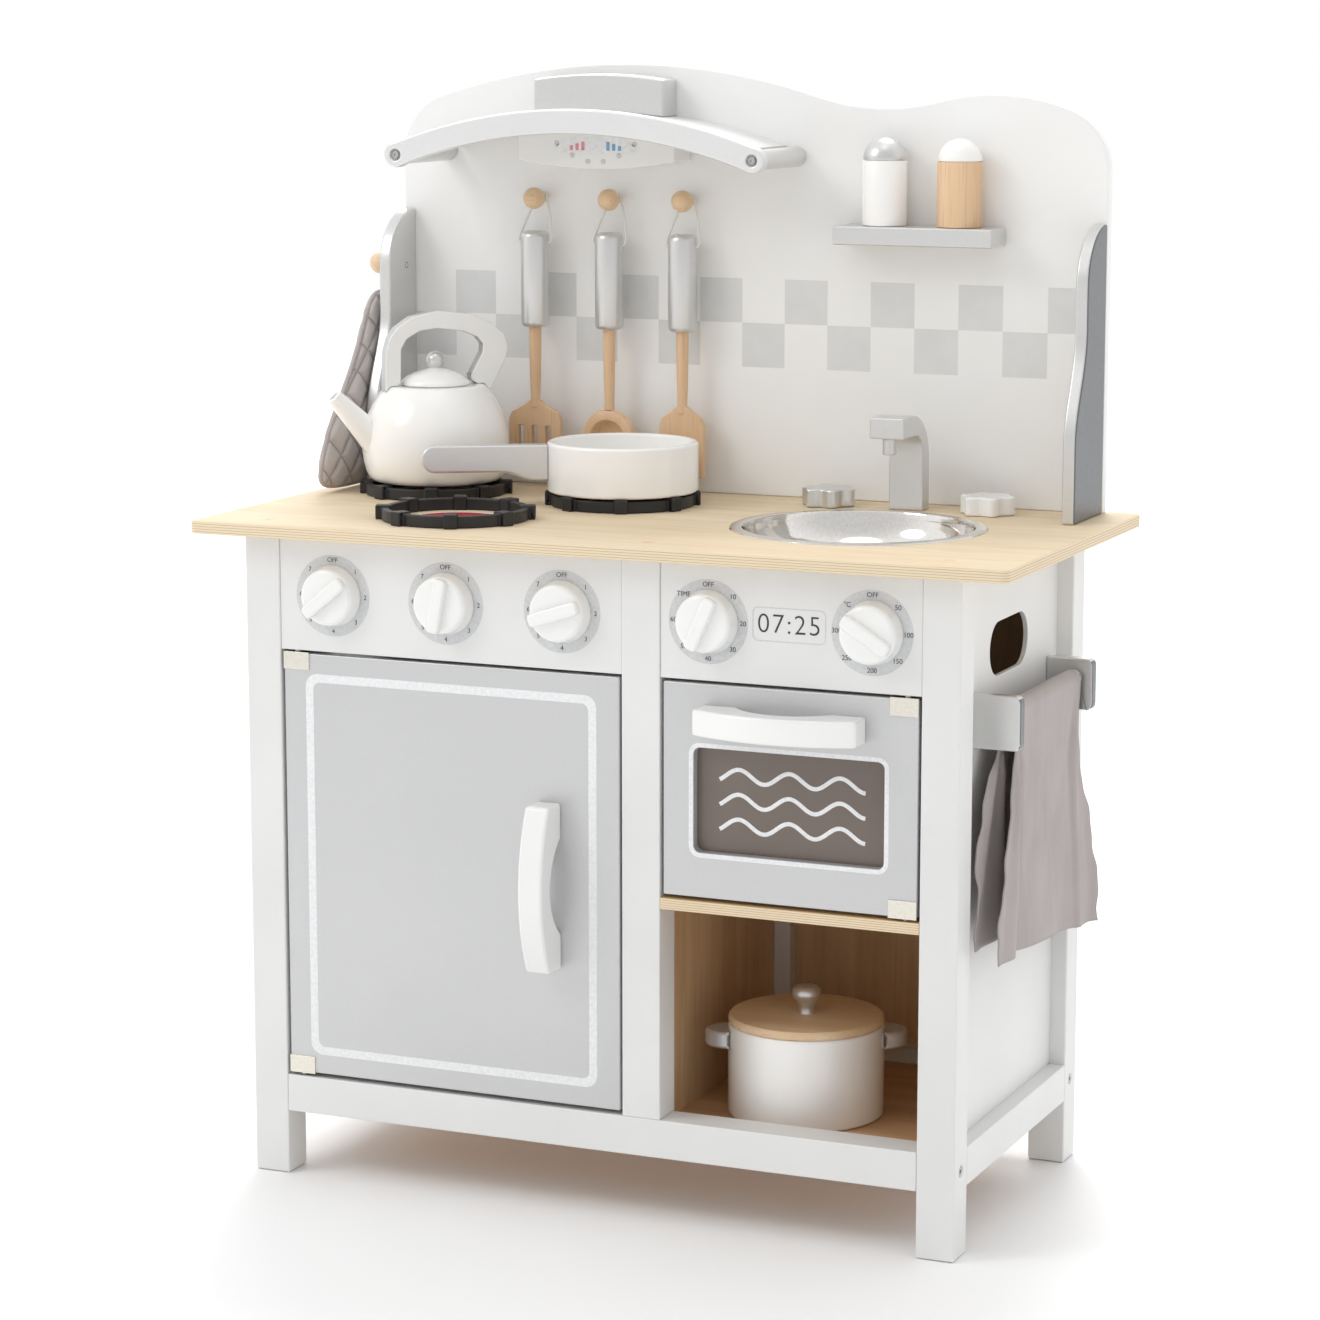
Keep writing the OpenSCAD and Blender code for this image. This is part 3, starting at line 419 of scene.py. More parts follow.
shelf_ply = plywood_look("shelf_ply", srgb(226, 196, 152), srgb(204, 168, 122), 0,
                         low("oven_shelf").z, high("oven_shelf").z - low("oven_shelf").z)
tiled_wall = tiled_wall_look()
steel = metal_look("steel", srgb(196, 196, 194), 0.3)
nickel = metal_look("nickel", srgb(224, 219, 208), 0.14)
sink_steel = metal_look("sink_steel", srgb(238, 235, 231), 0.08, bump=0.03)
black_plastic = plastic_look()
smoked_pane = pane_look()
dial_grey = ink_look("dial_grey", srgb(212, 213, 214))
display_grey = ink_look("display_grey", srgb(242, 243, 244), 0.3)
line_white = ink_look("line_white", srgb(240, 241, 242), 0.35)
ink_dark = ink_look("ink_dark", srgb(56, 58, 62))
ink_pink = ink_look("ink_pink", srgb(230, 150, 165))
ink_blue = ink_look("ink_blue", srgb(120, 175, 215))
ink_red = ink_look("ink_red", srgb(176, 34, 36))
string_white = string_look()
towel_cloth = cloth_look("towel_cloth", srgb(184, 175, 173), srgb(172, 162, 160), 0.7 * MM)
mitt_cloth = quilted_look("mitt_cloth", srgb(206, 198, 196), srgb(188, 180, 178))
trim_cloth = cloth_look("trim_cloth", srgb(196, 188, 186), srgb(180, 172, 170), 0.8 * MM)


# ---------------- mesh tools

# Planes that outlines are drawn in: u, v and the way the outline is given depth
FRONT = Matrix(((1, 0, 0), (0, 0, -1), (0, 1, 0))).to_4x4()
SIDE = Matrix(((0, 0, 1), (1, 0, 0), (0, 1, 0))).to_4x4()
FLAT = Matrix.Identity(4)


def turned(degrees, axis):
    return Matrix.Rotation(math.radians(degrees), 4, axis)


def in_mm(pairs):
    """Pairs that are given in millimetres, as metres."""
    return [(u * MM, v * MM) for u, v in pairs]


def arc(centre, radius, start, end, steps, rise=None):
    """Points round a centre, from one angle to another in degrees; rise makes it an ellipse."""
    angles = [math.radians(start + (end - start) * k / steps) for k in range(steps + 1)]
    rise = radius if rise is None else rise
    return [(centre[0] + radius * math.cos(a), centre[1] + rise * math.sin(a)) for a in angles]


def add_object(name, data):
    made = bpy.data.objects.new(name, data)
    bpy.context.scene.collection.objects.link(made)
    return made


def from_bmesh(name, bm):
    bmesh.ops.recalc_face_normals(bm, faces=bm.faces)
    mesh = bpy.data.meshes.new(name)
    bm.to_mesh(mesh)
    bm.free()
    return add_object(name, mesh)


def smooth(piece, angle=35):
    piece.data.shade_smooth()
    piece.data.set_sharp_from_angle(angle=math.radians(angle))


def round_edges(piece, radius, segments=3):
    bevel = piece.modifiers.new("round_edges", "BEVEL")
    bevel.width = radius
    bevel.segments = segments
    bevel.limit_method = "ANGLE"
    bevel.angle_limit = math.radians(32)
    bevel.use_clamp_overlap = False
    bevel.harden_normals = True
    smooth(piece, 50)


def give_as(piece, material, node, replaces=True):
    """A finished piece gets its material, and the body of a CAD node, which it
    replaces unless told not to."""
    if material is not None:
        piece.data.materials.clear()
        piece.data.materials.append(material)
    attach(piece, BODY_OF[node])
    if replaces:
        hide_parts(node)
    return piece


def soften(node, radius, material, other=None, pick=None, segments=3):
    """A CAD board with its sharp edges rounded; faces that pick chooses get the other material."""
    bm = bmesh.new()
    bm.from_mesh(frame["nodes"][node].data)
    bmesh.ops.remove_doubles(bm, verts=bm.verts, dist=2e-6)
    bmesh.ops.dissolve_limit(bm, angle_limit=math.radians(0.5), verts=bm.verts, edges=bm.edges)
    for face in bm.faces:
        centre = face.calc_center_median()
        face.material_index = 1 if pick and pick(centre, face.normal) else 0
    mesh = bpy.data.meshes.new(node + "_finished")
    bm.to_mesh(mesh)
    bm.free()
    for layer in ("custom_normal", "sharp_edge", "sharp_face"):
        if layer in mesh.attributes:
            mesh.attributes.remove(mesh.attributes[layer])
    mesh.materials.append(material)
    if other is not None:
        mesh.materials.append(other)
    piece = add_object(node + "_finished", mesh)
    round_edges(piece, radius, segments)
    return give_as(piece, None, node)


def lathe(name, profile, place, turn=FLAT, steps=96):
    """Turns (radius, height) pairs about an axis through place, along Z unless turned."""
    bm = bmesh.new()
    rings = []
    for radius, height in profile:
        spots = disc((0, 0), radius, steps) if radius > 1e-7 else [(0, 0)]
        rings.append([bm.verts.new((*spot, height)) for spot in spots])
    for first, second in zip(rings, rings[1:]):
        for k in range(steps):
            corners = [first[k % len(first)], first[(k + 1) % len(first)],
                       second[(k + 1) % len(second)], second[k % len(second)]]
            bm.faces.new(list(dict.fromkeys(corners)))
    bm.transform(Matrix.Translation(place) @ turn)
    piece = from_bmesh(name, bm)
    smooth(piece)
    return piece


def prism(name, outline, depth, plane, offset=(0, 0, 0), holes=()):
    """A flat outline, with holes if any, given depth from its plane."""
    bm = bmesh.new()
    edges = []
    for loop in (outline, *holes):
        verts = [bm.verts.new((u, v, 0)) for u, v in loop]
        edges += [bm.edges.new((a, b)) for a, b in zip(verts, verts[1:] + verts[:1])]
    if holes:
        bmesh.ops.triangle_fill(bm, use_beauty=True, use_dissolve=False, edges=edges)
    else:
        bm.faces.new(bm.verts)
    grown = bmesh.ops.extrude_face_region(bm, geom=list(bm.faces))
    moved = [v for v in grown["geom"] if isinstance(v, bmesh.types.BMVert)]
    bmesh.ops.translate(bm, verts=moved, vec=(0, 0, depth))
    bm.transform(Matrix.Translation(offset) @ plane)
    piece = from_bmesh(name, bm)
    smooth(piece)
    return piece


def rounded_rect(centre, width, height, radius, steps=6):
    points = []
    for k, (su, sv) in enumerate(((1, 1), (-1, 1), (-1, -1), (1, -1))):
        corner = (centre[0] + su * (width / 2 - radius), centre[1] + sv * (height / 2 - radius))
        points += arc(corner, radius, 90 * k, 90 * k + 90, steps)
    return points


def disc(centre, radius, steps=48):
    return arc(centre, radius, 0, 360, steps)[:-1]


def curve_mesh(curve):
    """The surface of a curve or of letters as a mesh."""
    holder = add_object(curve.name + "_curve", curve)
    bpy.context.view_layer.update()
    mesh = bpy.data.meshes.new_from_object(holder)
    bpy.data.objects.remove(holder)
    return mesh


def tube(name, points, radius, closed=False, resolution=4):
    """A round cord or bead along smooth points."""
    curve = bpy.data.curves.new(name, "CURVE")
    curve.dimensions = "3D"
    curve.bevel_depth = radius
    curve.bevel_resolution = resolution
    curve.use_fill_caps = not closed
    curve.resolution_u = 4
    line = curve.splines.new("NURBS")
    line.points.add(len(points) - 1)
    for point, place in zip(line.points, points):
        point.co = (*place, 1)
    line.order_u = 3
    line.use_endpoint_u = not closed
    line.use_cyclic_u = closed
    piece = add_object(name, curve_mesh(curve))
    smooth(piece, 60)
    return piece


def letters(name, words, height, u, v, front, thin=0.0, spacing=1.0):
    """Flat printed characters on a surface that faces the front, centred at X u and Z v."""
    curve = bpy.data.curves.new(name, "FONT")
    curve.body = words
    curve.size = height
    curve.align_x = "CENTER"
    curve.align_y = "CENTER"
    curve.extrude = 0.06 * MM
    curve.offset = -thin
    curve.space_character = spacing
    mesh = curve_mesh(curve)
    mesh.transform(Matrix.Translation((u, front, v)) @ FRONT)
    return add_object(name, mesh)


def join(name, pieces):
    """Several meshes as one object."""
    bm = bmesh.new()
    for piece in pieces:
        bm.from_mesh(piece.data)
        bpy.data.objects.remove(piece)
    mesh = bpy.data.meshes.new(name)
    bm.to_mesh(mesh)
    bm.free()
    return add_object(name, mesh)


def stretch(piece, place, scale):
    """Scales a mesh along the axes about a fixed place."""
    piece.data.transform(Matrix.Translation(place) @ Matrix.Diagonal((*scale, 1))
                         @ Matrix.Translation(-Vector(place)))


def ribbon(name, outer, inner, front, proud=0.12 * MM):
    """A printed band between two outlines on a surface that faces the front."""
    return prism(name, outer, proud, FRONT, (0, front, 0), holes=[inner])


# ---------------- cabinet

def build_cabinet():
    soften("corner_posts", 1.3 * MM, white_paint)
    for node in ("middle_posts", "front_rail", "side_and_back_rails"):
        soften(node, 1.0 * MM, white_paint)
    soften("side_panels", 0.4 * MM, white_paint, inner_ply, inside_side_panel)
    for node, ply in (("back_panels", inner_ply), ("partition_panel", inner_ply),
                      ("floor_panel", floor_ply)):
        soften(node, 0.3 * MM, ply)
    soften("oven_shelf", 0.7 * MM, shelf_ply)
    for node in ("hob_knob_panel", "oven_knob_panel"):
        soften(node, 0.8 * MM, white_paint)
    soften("door_catches", 0.6 * MM, pale_beech)
    soften("hinge_pins", 0.3 * MM, steel)


def inside_side_panel(centre, normal):
    """The faces of the side panels that look into the cabinet."""
    return abs(normal.x) > 0.7 and normal.x * centre.x < 0


def build_worktop():
    soften("worktop", 1.1 * MM, top_ply)
    plug = in_mm([(0, 0.2), (3.78, 0.2), (4.2, 0.02), (4.2, -0.4)])
    spread_x = high("corner_posts").x - 13.5 * MM
    spread_y = size("corner_posts").y / 2 - 13 * MM
    plugs = []
    for x in (-spread_x, middle("middle_posts").x, spread_x):
        for side in (-1, 1):
            y = middle("corner_posts").y + side * spread_y
            plugs.append(lathe("plug", plug, (x, y, high("worktop").z)))
    give_as(join("worktop_plugs", plugs), beech, "worktop", False)


def build_back_wall():
    soften("back_wall", 1.4 * MM, tiled_wall)
    soften("left_wing", 1.8 * MM, silver_paint)
    # The right wing's faces that look to +X get the silver with painted shade
    soften("right_wing", 1.8 * MM, silver_paint, painted_shade_silver, lambda c, n: n.x > 0.8)
    soften("spice_shelf", 1.4 * MM, silver_paint)
    # The towel rail's faces that look to +X get the silver with painted shade
    soften("towel_rail", 1.2 * MM, silver_paint, painted_shade_silver, lambda c, n: n.x > 0.8)
    # A black disc in the left wing's screw hole: painted shade where the hole is
    hole = (low("left_wing").x + 9.6 * MM, high("left_wing").y - 16.5 * MM, 631 * MM)
    head = in_mm([(0, -0.1), (1.7, -0.1), (2.2, 0.1), (2.4, 0.02), (2.4, -0.4)])
    screw_hole_shade = lathe("wing_screw_hole_shade", head, hole, turned(90, "Y"), 32)
    give_as(screw_hole_shade, black_plastic, "left_wing", False)


# ---------------- hood

def build_hood():
    soften("hood_bar", 1.6 * MM, pearl_paint)
    soften("hood_dowels", 1.0 * MM, silver_paint)
    soften("hood_canopy", 0.5 * MM, white_paint)
    soften("hood_chimney", 1.4 * MM, silver_paint)
    soften("hood_control_box", 1.2 * MM, gloss_white)
    build_display()


def build_display():
    front = low("hood_control_box").y - 0.05 * MM
    centre_x = middle("hood_control_box").x
    foot = low("hood_control_box").z + 11.5 * MM
    half_w = 34 * MM
    rise = 13.5 * MM
    arch = arc((centre_x, foot), half_w, 0, 180, 30, rise)
    panel = prism("hood_display", arch, 0.12 * MM, FRONT, (0, front, 0))
    give_as(panel, display_grey, "hood_control_box", False)
    for name, side, ink in (("left", -1, ink_pink), ("right", 1, ink_blue)):
        bars = []
        for k in range(3):
            u = centre_x + side * (10 + 4.6 * k) * MM
            height = (6.4 - 1.4 * k) * MM
            shape = rounded_rect((u, foot + 2 * MM + height / 2), 2.6 * MM, height, 0.5 * MM, 3)
            bars.append(prism("bar", shape, 0.1 * MM, FRONT, (0, front - 0.13 * MM, 0)))
        give_as(join("display_bars_" + name, bars), ink, "hood_control_box", False)
    dots = []
    for k in range(6):
        u = (k - 2.5) * 12.4 * MM
        v = foot - 6.4 * MM + 14 * u * u
        dots.append(prism("dot", disc((centre_x + u, v), 2.0 * MM, 24), 0.12 * MM, FRONT,
                          (0, front, 0)))
    give_as(join("display_dots", dots), dial_grey, "hood_control_box", False)


# ---------------- screws

def build_screws():
    """Rounded screw heads, each with a round socket."""
    head = in_mm([(0, -1.2), (1.5, -1.2), (1.5, 0.05), (2.9, 0), (3.45, -0.5), (3.5, -1.5)])
    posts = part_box("corner_posts")
    z = low("screws").z + 3.6 * MM
    made = []
    for side, x in ((-1, posts[0].x + 0.5 * MM), (1, posts[1].x - 0.5 * MM)):
        for y in (posts[0].y + 13 * MM, posts[1].y - 13 * MM):
            made.append(lathe("head", head, (x, y, z), turned(side * 90, "Y"), 36))
    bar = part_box("hood_bar")
    for x in (bar[0].x + 9.2 * MM, bar[1].x - 9.2 * MM):
        place = (x, bar[0].y + 0.4 * MM, bar[0].z + 9.2 * MM)
        made.append(lathe("head", head, place, turned(90, "X") @ Matrix.Scale(0.75, 4), 36))
    piece = join("screw_heads", made)
    smooth(piece)
    give_as(piece, steel, "screws")


# ---------------- doors

def build_doors():
    for part, radius, look, segments in (("door", 1.3, door_paint, 3),
                                         ("handle", 2.2, gloss_white, 4),
                                         ("hinge_caps", 0.25, nickel, 3)):
        for door in ("cupboard", "oven"):
            soften(f"{door}_{part}", radius * MM, look, segments=segments)
    build_door_line()
    build_oven_window()


def build_door_line():
    """The printed white frame on the cupboard door."""
    door = "cupboard_door"
    margin_x = 17 * MM
    margin_z = 14 * MM
    line = 6 * MM
    centre = (middle(door).x, middle(door).z)
    w = size(door).x - 2 * margin_x
    h = size(door).z - 2 * margin_z
    outer = rounded_rect(centre, w, h, 9 * MM, 8)
    inner = rounded_rect(centre, w - 2 * line, h - 2 * line, 5 * MM, 8)
    give_as(ribbon("door_frame_line", outer, inner, low(door).y), line_white, door, False)


def build_oven_window():
    node = "oven_window"
    rebate = 6 * MM
    border = 3.4 * MM
    centre = (middle(node).x, middle(node).z)
    w = size(node).x
    h = size(node).z
    pane = prism("oven_pane", rounded_rect(centre, w, h, 8 * MM), size(node).y, FRONT,
                 (0, high(node).y, 0))
    round_edges(pane, 0.3 * MM, 2)
    give_as(pane, smoked_pane, node)
    hole_w = w - 2 * rebate
    hole_h = h - 2 * rebate
    outer = rounded_rect(centre, hole_w + 2 * border, hole_h + 2 * border, 8 * MM, 8)
    inner = rounded_rect(centre, hole_w + 0.6 * MM, hole_h + 0.6 * MM, 5 * MM, 8)
    line = ribbon("window_line", outer, inner, low("oven_door").y)
    give_as(line, line_white, "oven_door", False)
    waves = []
    half = 52 * MM
    crest = 4.4 * MM
    for row in (-1, 0, 1):
        points = []
        for k in range(73):
            share = k / 72
            u = centre[0] - half + 2 * half * share
            v = centre[1] + row * 17 * MM + crest * math.cos(2 * math.pi * 2.87 * share - 2.38)
            points.append((u, low(node).y - 0.1 * MM, v))
        wave = tube("wave", points, 1.5 * MM, resolution=3)
        stretch(wave, (0, low(node).y, 0), (1, 0.15, 1))
        waves.append(wave)
    piece = join("window_waves", waves)
    smooth(piece, 60)
    give_as(piece, line_white, node, False)


# ---------------- knobs and dials

HOB_MARKS = ("OFF", *"1234567")
DIALS = (
    ("hob_knob_1", 40, HOB_MARKS),
    ("hob_knob_2", 80, HOB_MARKS),
    ("hob_knob_3", 18, HOB_MARKS),
    ("timer_knob", 66, ("OFF", "10", "20", "30", "40", "50", "60", "TIME")),
    ("oven_knob", -32, ("OFF", "50", "100", "150", "200", "250", "300", "°C")),
)


def build_knob(node, turn, marks):
    centre = (middle(node).x, middle(node).z)
    radius = size(node).x / 2
    panel = low("hob_knob_panel").y
    grip = 5 * MM
    depth = panel - low(node).y - grip
    rounding = 3.6 * MM
    plate_r = 28.5 * MM
    marks_r = 25 * MM
    profile = [(0, 0.1 * MM), (radius - 0.6 * MM, 0.1 * MM), (radius, 0.8 * MM)]
    profile += arc((radius - 1.6 * MM - rounding, depth - rounding), rounding, 0, 90, 8)
    profile.append((0, depth + 0.25 * MM))
    cap = lathe(node + "_cap", profile, (centre[0], panel, centre[1]), turned(90, "X"))
    give_as(cap, gloss_white, node)
    outline = rounded_rect((0, 0), 2 * radius - 5 * MM, 9.6 * MM, 3.2 * MM, 6)
    bar = prism(node + "_bar", outline, grip + 1.5 * MM, FRONT)
    bar.data.transform(Matrix.Translation((centre[0], panel - depth + 1.5 * MM, centre[1]))
                       @ turned(-turn, "Y"))
    round_edges(bar, 2.0 * MM, 4)
    give_as(bar, gloss_white, node, False)
    plate = prism(node + "_dial", disc(centre, plate_r, 96), 0.08 * MM, FRONT, (0, panel, 0))
    give_as(plate, dial_grey, "hob_knob_panel", False)
    spots = arc(centre, marks_r, 90, 90 - 45 * len(marks), len(marks))
    prints = [letters("mark", mark, 4.7 * MM, u, v, panel - 0.15 * MM)
              for mark, (u, v) in zip(marks, spots)]
    give_as(join(node + "_marks", prints), ink_dark, "hob_knob_panel", False)


def build_clock():
    centre = ((middle("timer_knob").x + middle("oven_knob").x) / 2 - 0.3 * MM,
              middle("timer_knob").z + 1 * MM)
    front = low("oven_knob_panel").y
    outer = rounded_rect(centre, 52 * MM, 23 * MM, 4 * MM)
    inner = rounded_rect(centre, 50.6 * MM, 21.6 * MM, 3.4 * MM)
    give_as(ribbon("clock_line", outer, inner, front), dial_grey, "oven_knob_panel", False)
    digits = letters("clock_digits", "07:25", 18.5 * MM, centre[0], centre[1],
                     front - 0.06 * MM, 0.22 * MM, 1.12)
    give_as(digits, ink_dark, "oven_knob_panel", False)


# ---------------- sink, rings, faucet

def build_sink():
    outer_r = size("sink").x / 2
    top = high("sink").z
    depth = size("sink").z
    bowl_r = outer_r - 9 * MM
    bottom_r = 58 * MM
    sheet = 1.1 * MM
    shoulder = (bottom_r, top - sheet)
    profile = [(0, top - depth + sheet), (10 * MM, top - depth + sheet)]
    profile += arc(shoulder, bowl_r - bottom_r, 90, 0, 12, 2 * sheet - depth)
    profile += [(bowl_r + 0.6 * MM, top - 0.2 * MM), (bowl_r + 1.8 * MM, top),
                (outer_r - 1.6 * MM, top - 0.1 * MM), (outer_r - 0.4 * MM, top - 0.5 * MM),
                (outer_r, top - 1.1 * MM), (bowl_r + 1.2 * MM, top - sheet)]
    profile += arc(shoulder, bowl_r - bottom_r + sheet, 0, 90, 12, sheet - depth)
    profile.append((0, top - depth))
    bowl = lathe("sink_bowl", profile, above("sink", 0), steps=128)
    give_as(bowl, sink_steel, "sink")


RING_PLACES = ((-210, 64), (-133, -59), (-57, 58))


def build_rings():
    soften("burner_rings", 1.0 * MM, black_plastic)
    top = high("worktop").z
    discs = []
    lines = []
    for centre in in_mm(RING_PLACES):
        discs.append(prism("glow", disc(centre, 33 * MM, 64), 0.15 * MM, FLAT, (0, 0, top)))
        lines.append(prism("line", disc(centre, 36 * MM, 64), 0.15 * MM, FLAT, (0, 0, top),
                           holes=[disc(centre, 34 * MM, 64)]))
    give_as(join("hob_discs", discs), ink_red, "worktop", False)
    give_as(join("hob_lines", lines), line_white, "worktop", False)


def build_taps():
    soften("faucet", 1.3 * MM, silver_paint)
    mean_r = 17.6 * MM
    swing = 2.4 * MM
    for node, paint in (("cold_tap", silver_paint), ("hot_tap", gloss_white)):
        foot = high("worktop").z + 0.1 * MM
        outline = []
        for k in range(144):
            angle = 2 * math.pi * k / 144
            radius = mean_r + swing * math.cos(6 * angle)
            outline.append((radius * math.cos(angle), radius * math.sin(angle)))
        head = prism(node + "_head", outline, high(node).z - foot, FLAT, above(node, foot))
        round_edges(head, 1.8 * MM, 4)
        give_as(head, paint, node)


# ---------------- cookware

KETTLE_PROFILE = ((0, 0), (44, 0), (47, 0.8), (49.6, 3.6), (51.6, 8), (53.2, 15), (53.9, 22),
                  (54, 28), (53.4, 35), (52, 42), (49.6, 49), (46.2, 56), (42.4, 62.4),
                  (39.3, 66.1), (37.6, 68), (36.4, 69.2), (35.2, 69.8), (33, 69.95),
                  (24.2, 69.95), (23.4, 69.4), (23, 60), (40, 50), (48, 28), (44, 5), (0, 5))


def build_kettle():
    place = above("kettle_lid", low("kettle").z)
    body = lathe("kettle_body", in_mm(KETTLE_PROFILE), place, steps=128)
    give_as(body, ware_white, "kettle")
    turn = turned(45, "Z")
    root = Matrix.Translation((-45 * MM, 0, 29 * MM)) @ turned(-43, "Y")
    outer = in_mm([(12.6, -6), (11.6, 0), (10.2, 10), (8.9, 22), (7.6, 34), (6.4, 44),
                   (5.9, 47.4), (5.2, 48), (4.2, 48), (3.8, 46), (3.8, 30), (0, 30)])
    spout = lathe("kettle_spout", outer, place, turn @ root, 64)
    give_as(spout, ware_white, "kettle", False)
    across = turn @ Vector((0, -1, 0))
    soften("kettle_handle", 1.1 * MM, door_paint, gloss_white,
           lambda c, n: abs(n.dot(across)) > 0.8)
    build_kettle_lid()


def build_kettle_lid():
    lid = in_mm([(0, -3.6), (20, -3.6), (20, 0.2), (25, 0.2), (25.5, 0.8), (25.3, 2.2),
                 (23.6, 4.4), (20, 6.7), (15, 9.1), (9.5, 11.1), (5.4, 12.1), (4.6, 12.5),
                 (4.6, 14), (0, 14)])
    top = lathe("kettle_lid_dome", lid, above("kettle_lid", high("kettle").z))
    give_as(top, ware_white, "kettle_lid")
    ball_r = 6.9 * MM
    place = above("kettle_lid", high("kettle_lid").z - ball_r - 0.1 * MM)
    knob = lathe("kettle_lid_ball", arc((0, 0), ball_r, -90, 90, 20), place, steps=48)
    give_as(knob, silver_paint, "kettle_lid", False)


def cup_profile(radius, wall, height, rounding):
    """A straight cup with a round rim and a soft foot."""
    half = wall / 2
    return [(0, 0), *arc((radius - rounding, rounding), rounding, -90, 0, 6),
            *arc((radius - half, height - half), half, 0, 180, 12),
            (radius - wall, wall + 2 * MM), (radius - wall - 2 * MM, wall), (0, wall)]


def build_cup(node, radius):
    profile = cup_profile(radius, 4.6 * MM, size(node).z, 2.4 * MM)
    shell = lathe(node + "_shell", profile, above(node, low(node).z), steps=128)
    give_as(shell, ware_white, node)


def build_pan():
    build_cup("pan", size("pan").x / 2)
    soften("pan_handle", 1.7 * MM, silver_paint, segments=4)


def build_pot():
    radius = size("pot").y / 2
    build_cup("pot", radius)
    grip_r = 16 * MM
    grip_h = 12 * MM
    sunk = 4 * MM
    foot = high("pot").z - 10.5 * MM - grip_h / 2
    half_round = arc((radius - sunk, 0), grip_r + sunk, -88, 88, 24, grip_r)
    grips = []
    for outline in ([(-u, v) for u, v in reversed(half_round)], half_round):
        grip = prism("grip", outline, grip_h, FLAT, (0, 0, foot))
        grip.data.transform(Matrix.Translation(above("pot", 0)) @ turned(23, "Z"))
        grips.append(grip)
    piece = join("pot_grips", grips)
    round_edges(piece, 2.6 * MM, 4)
    give_as(piece, door_paint, "pot", False)
    build_pot_lid(radius / MM)


def build_pot_lid(edge):
    place = above("pot", low("pot_lid").z + 4 * MM)
    board = in_mm([(0, -3.8), (edge - 6.4, -3.8), (edge - 6.2, 0.1), (edge - 1.2, 0.1),
                   (edge - 0.2, 1), (edge, 2.6), (edge - 0.3, 4.4), (edge - 1.6, 5.8),
                   (edge - 4, 6.2), (0, 6.2)])
    give_as(lathe("pot_lid_disc", board, place, steps=128), pale_beech, "pot_lid")
    knob = in_mm([(0, 6), (6.4, 6), (6.2, 7), (5.6, 9), (5.9, 12), (7.6, 15), (9.8, 17.6),
                  (10.4, 20), (10, 22.6), (8.2, 24.8), (5, 26), (0, 26.4)])
    give_as(lathe("pot_lid_knob", knob, place, steps=64), silver_paint, "pot_lid", False)


def build_shaker(node, body_look, head_look):
    radius = size(node).x / 2 / MM
    split = size(node).z / MM - 16
    place = above(node, low(node).z)
    body = in_mm([(0, 0), (radius - 1.2, 0), (radius - 0.3, 0.4), (radius, 1.4),
                  (radius, split - 0.6), (radius - 0.4, split), (0, split)])
    give_as(lathe(node + "_body", body, place, steps=72), body_look, node)
    dome = in_mm([(0, split - 1), (radius - 1.6, split - 1), (radius - 1.6, split + 0.5),
                  (radius - 0.5, split + 0.5), *arc((0, split + 1), radius - 0.4, 0, 90, 12, 15)])
    give_as(lathe(node + "_head", dome, place, steps=72), head_look, node, False)


# ---------------- pegs and utensils

def ball_profile(radius, stem_r, stem):
    """A turned ball on its stem, from the ball's tip to the stem's end."""
    return [*arc((0, 0), radius, 90, -70, 16), (stem_r, -radius - 0.5 * MM), (stem_r, -stem),
            (0, -stem)]


UTENSILS = ("slotted_turner", "spoon", "turner")
PEG_BALL_R = 8 * MM
MITT_PEG = (127 * MM, 632 * MM)


def build_pegs():
    stem_r = 3 * MM
    peg_y = low("wall_pegs").y + PEG_BALL_R
    profile = ball_profile(PEG_BALL_R, stem_r, low("back_wall").y - peg_y)
    pegs = []
    for node in UTENSILS:
        place = (middle(node).x, peg_y, high("wall_pegs").z - PEG_BALL_R)
        pegs.append(lathe("peg", profile, place, turned(90, "X"), 48))
    place = (low("wall_pegs").x + PEG_BALL_R, *MITT_PEG)
    profile = ball_profile(PEG_BALL_R, stem_r, low("left_wing").x - place[0])
    pegs.append(lathe("peg", profile, place, turned(-90, "Y"), 48))
    piece = join("peg_balls", pegs)
    smooth(piece)
    give_as(piece, pale_beech, "wall_pegs")


LOOP_CLIMB = ((7, 0, -33), (10, 0, -33), (12.2, 0, -32.4), (13, 0.4, -30.5), (12.8, 1.4, -28),
              (12, 3, -24.5), (10.8, 5, -20), (9.4, 7, -15), (7.8, 9, -10), (6, 10.6, -5))


def build_loop(node):
    """The string that the utensil hangs by, along the route that the CAD model gives it."""
    top = [(x, 11.5, z) for x, z in arc((0, 0), 4.4, 0, 180, 10)]
    down = [(-x, y, z) for x, y, z in reversed(LOOP_CLIMB)]
    origin = Vector(above(node, high("wall_pegs").z - PEG_BALL_R))
    points = [origin + Vector(p) * MM for p in (*LOOP_CLIMB, *top, *down)]
    give_as(tube(node + "_string", points, 0.9 * MM), string_white, node + "_loop")


def build_grip(node):
    """The thick painted grip and the thin turned shaft below it."""
    length = 71
    grip = in_mm([(0, 0), (5, 0), (8.2, 0.5), (9.8, 1.8), (10.5, 4), (10.5, 66), (10.2, 68.4),
                  (9, 70.2), (7, length), (4.6, length), (4.6, 70), (0, 70)])
    piece = lathe(node + "_grip", grip, above(node, high(node).z - length * MM), steps=64)
    give_as(piece, silver_paint, node)
    shaft = in_mm([(0, 0), (4, 0), (3.6, 6), (4.2, 24), (4.5, 44), (4.6, 59.5), (0, 59.5)])
    rod = lathe(node + "_shaft", shaft, above(node, 529 * MM), steps=40)
    give_as(rod, beech, node, False)


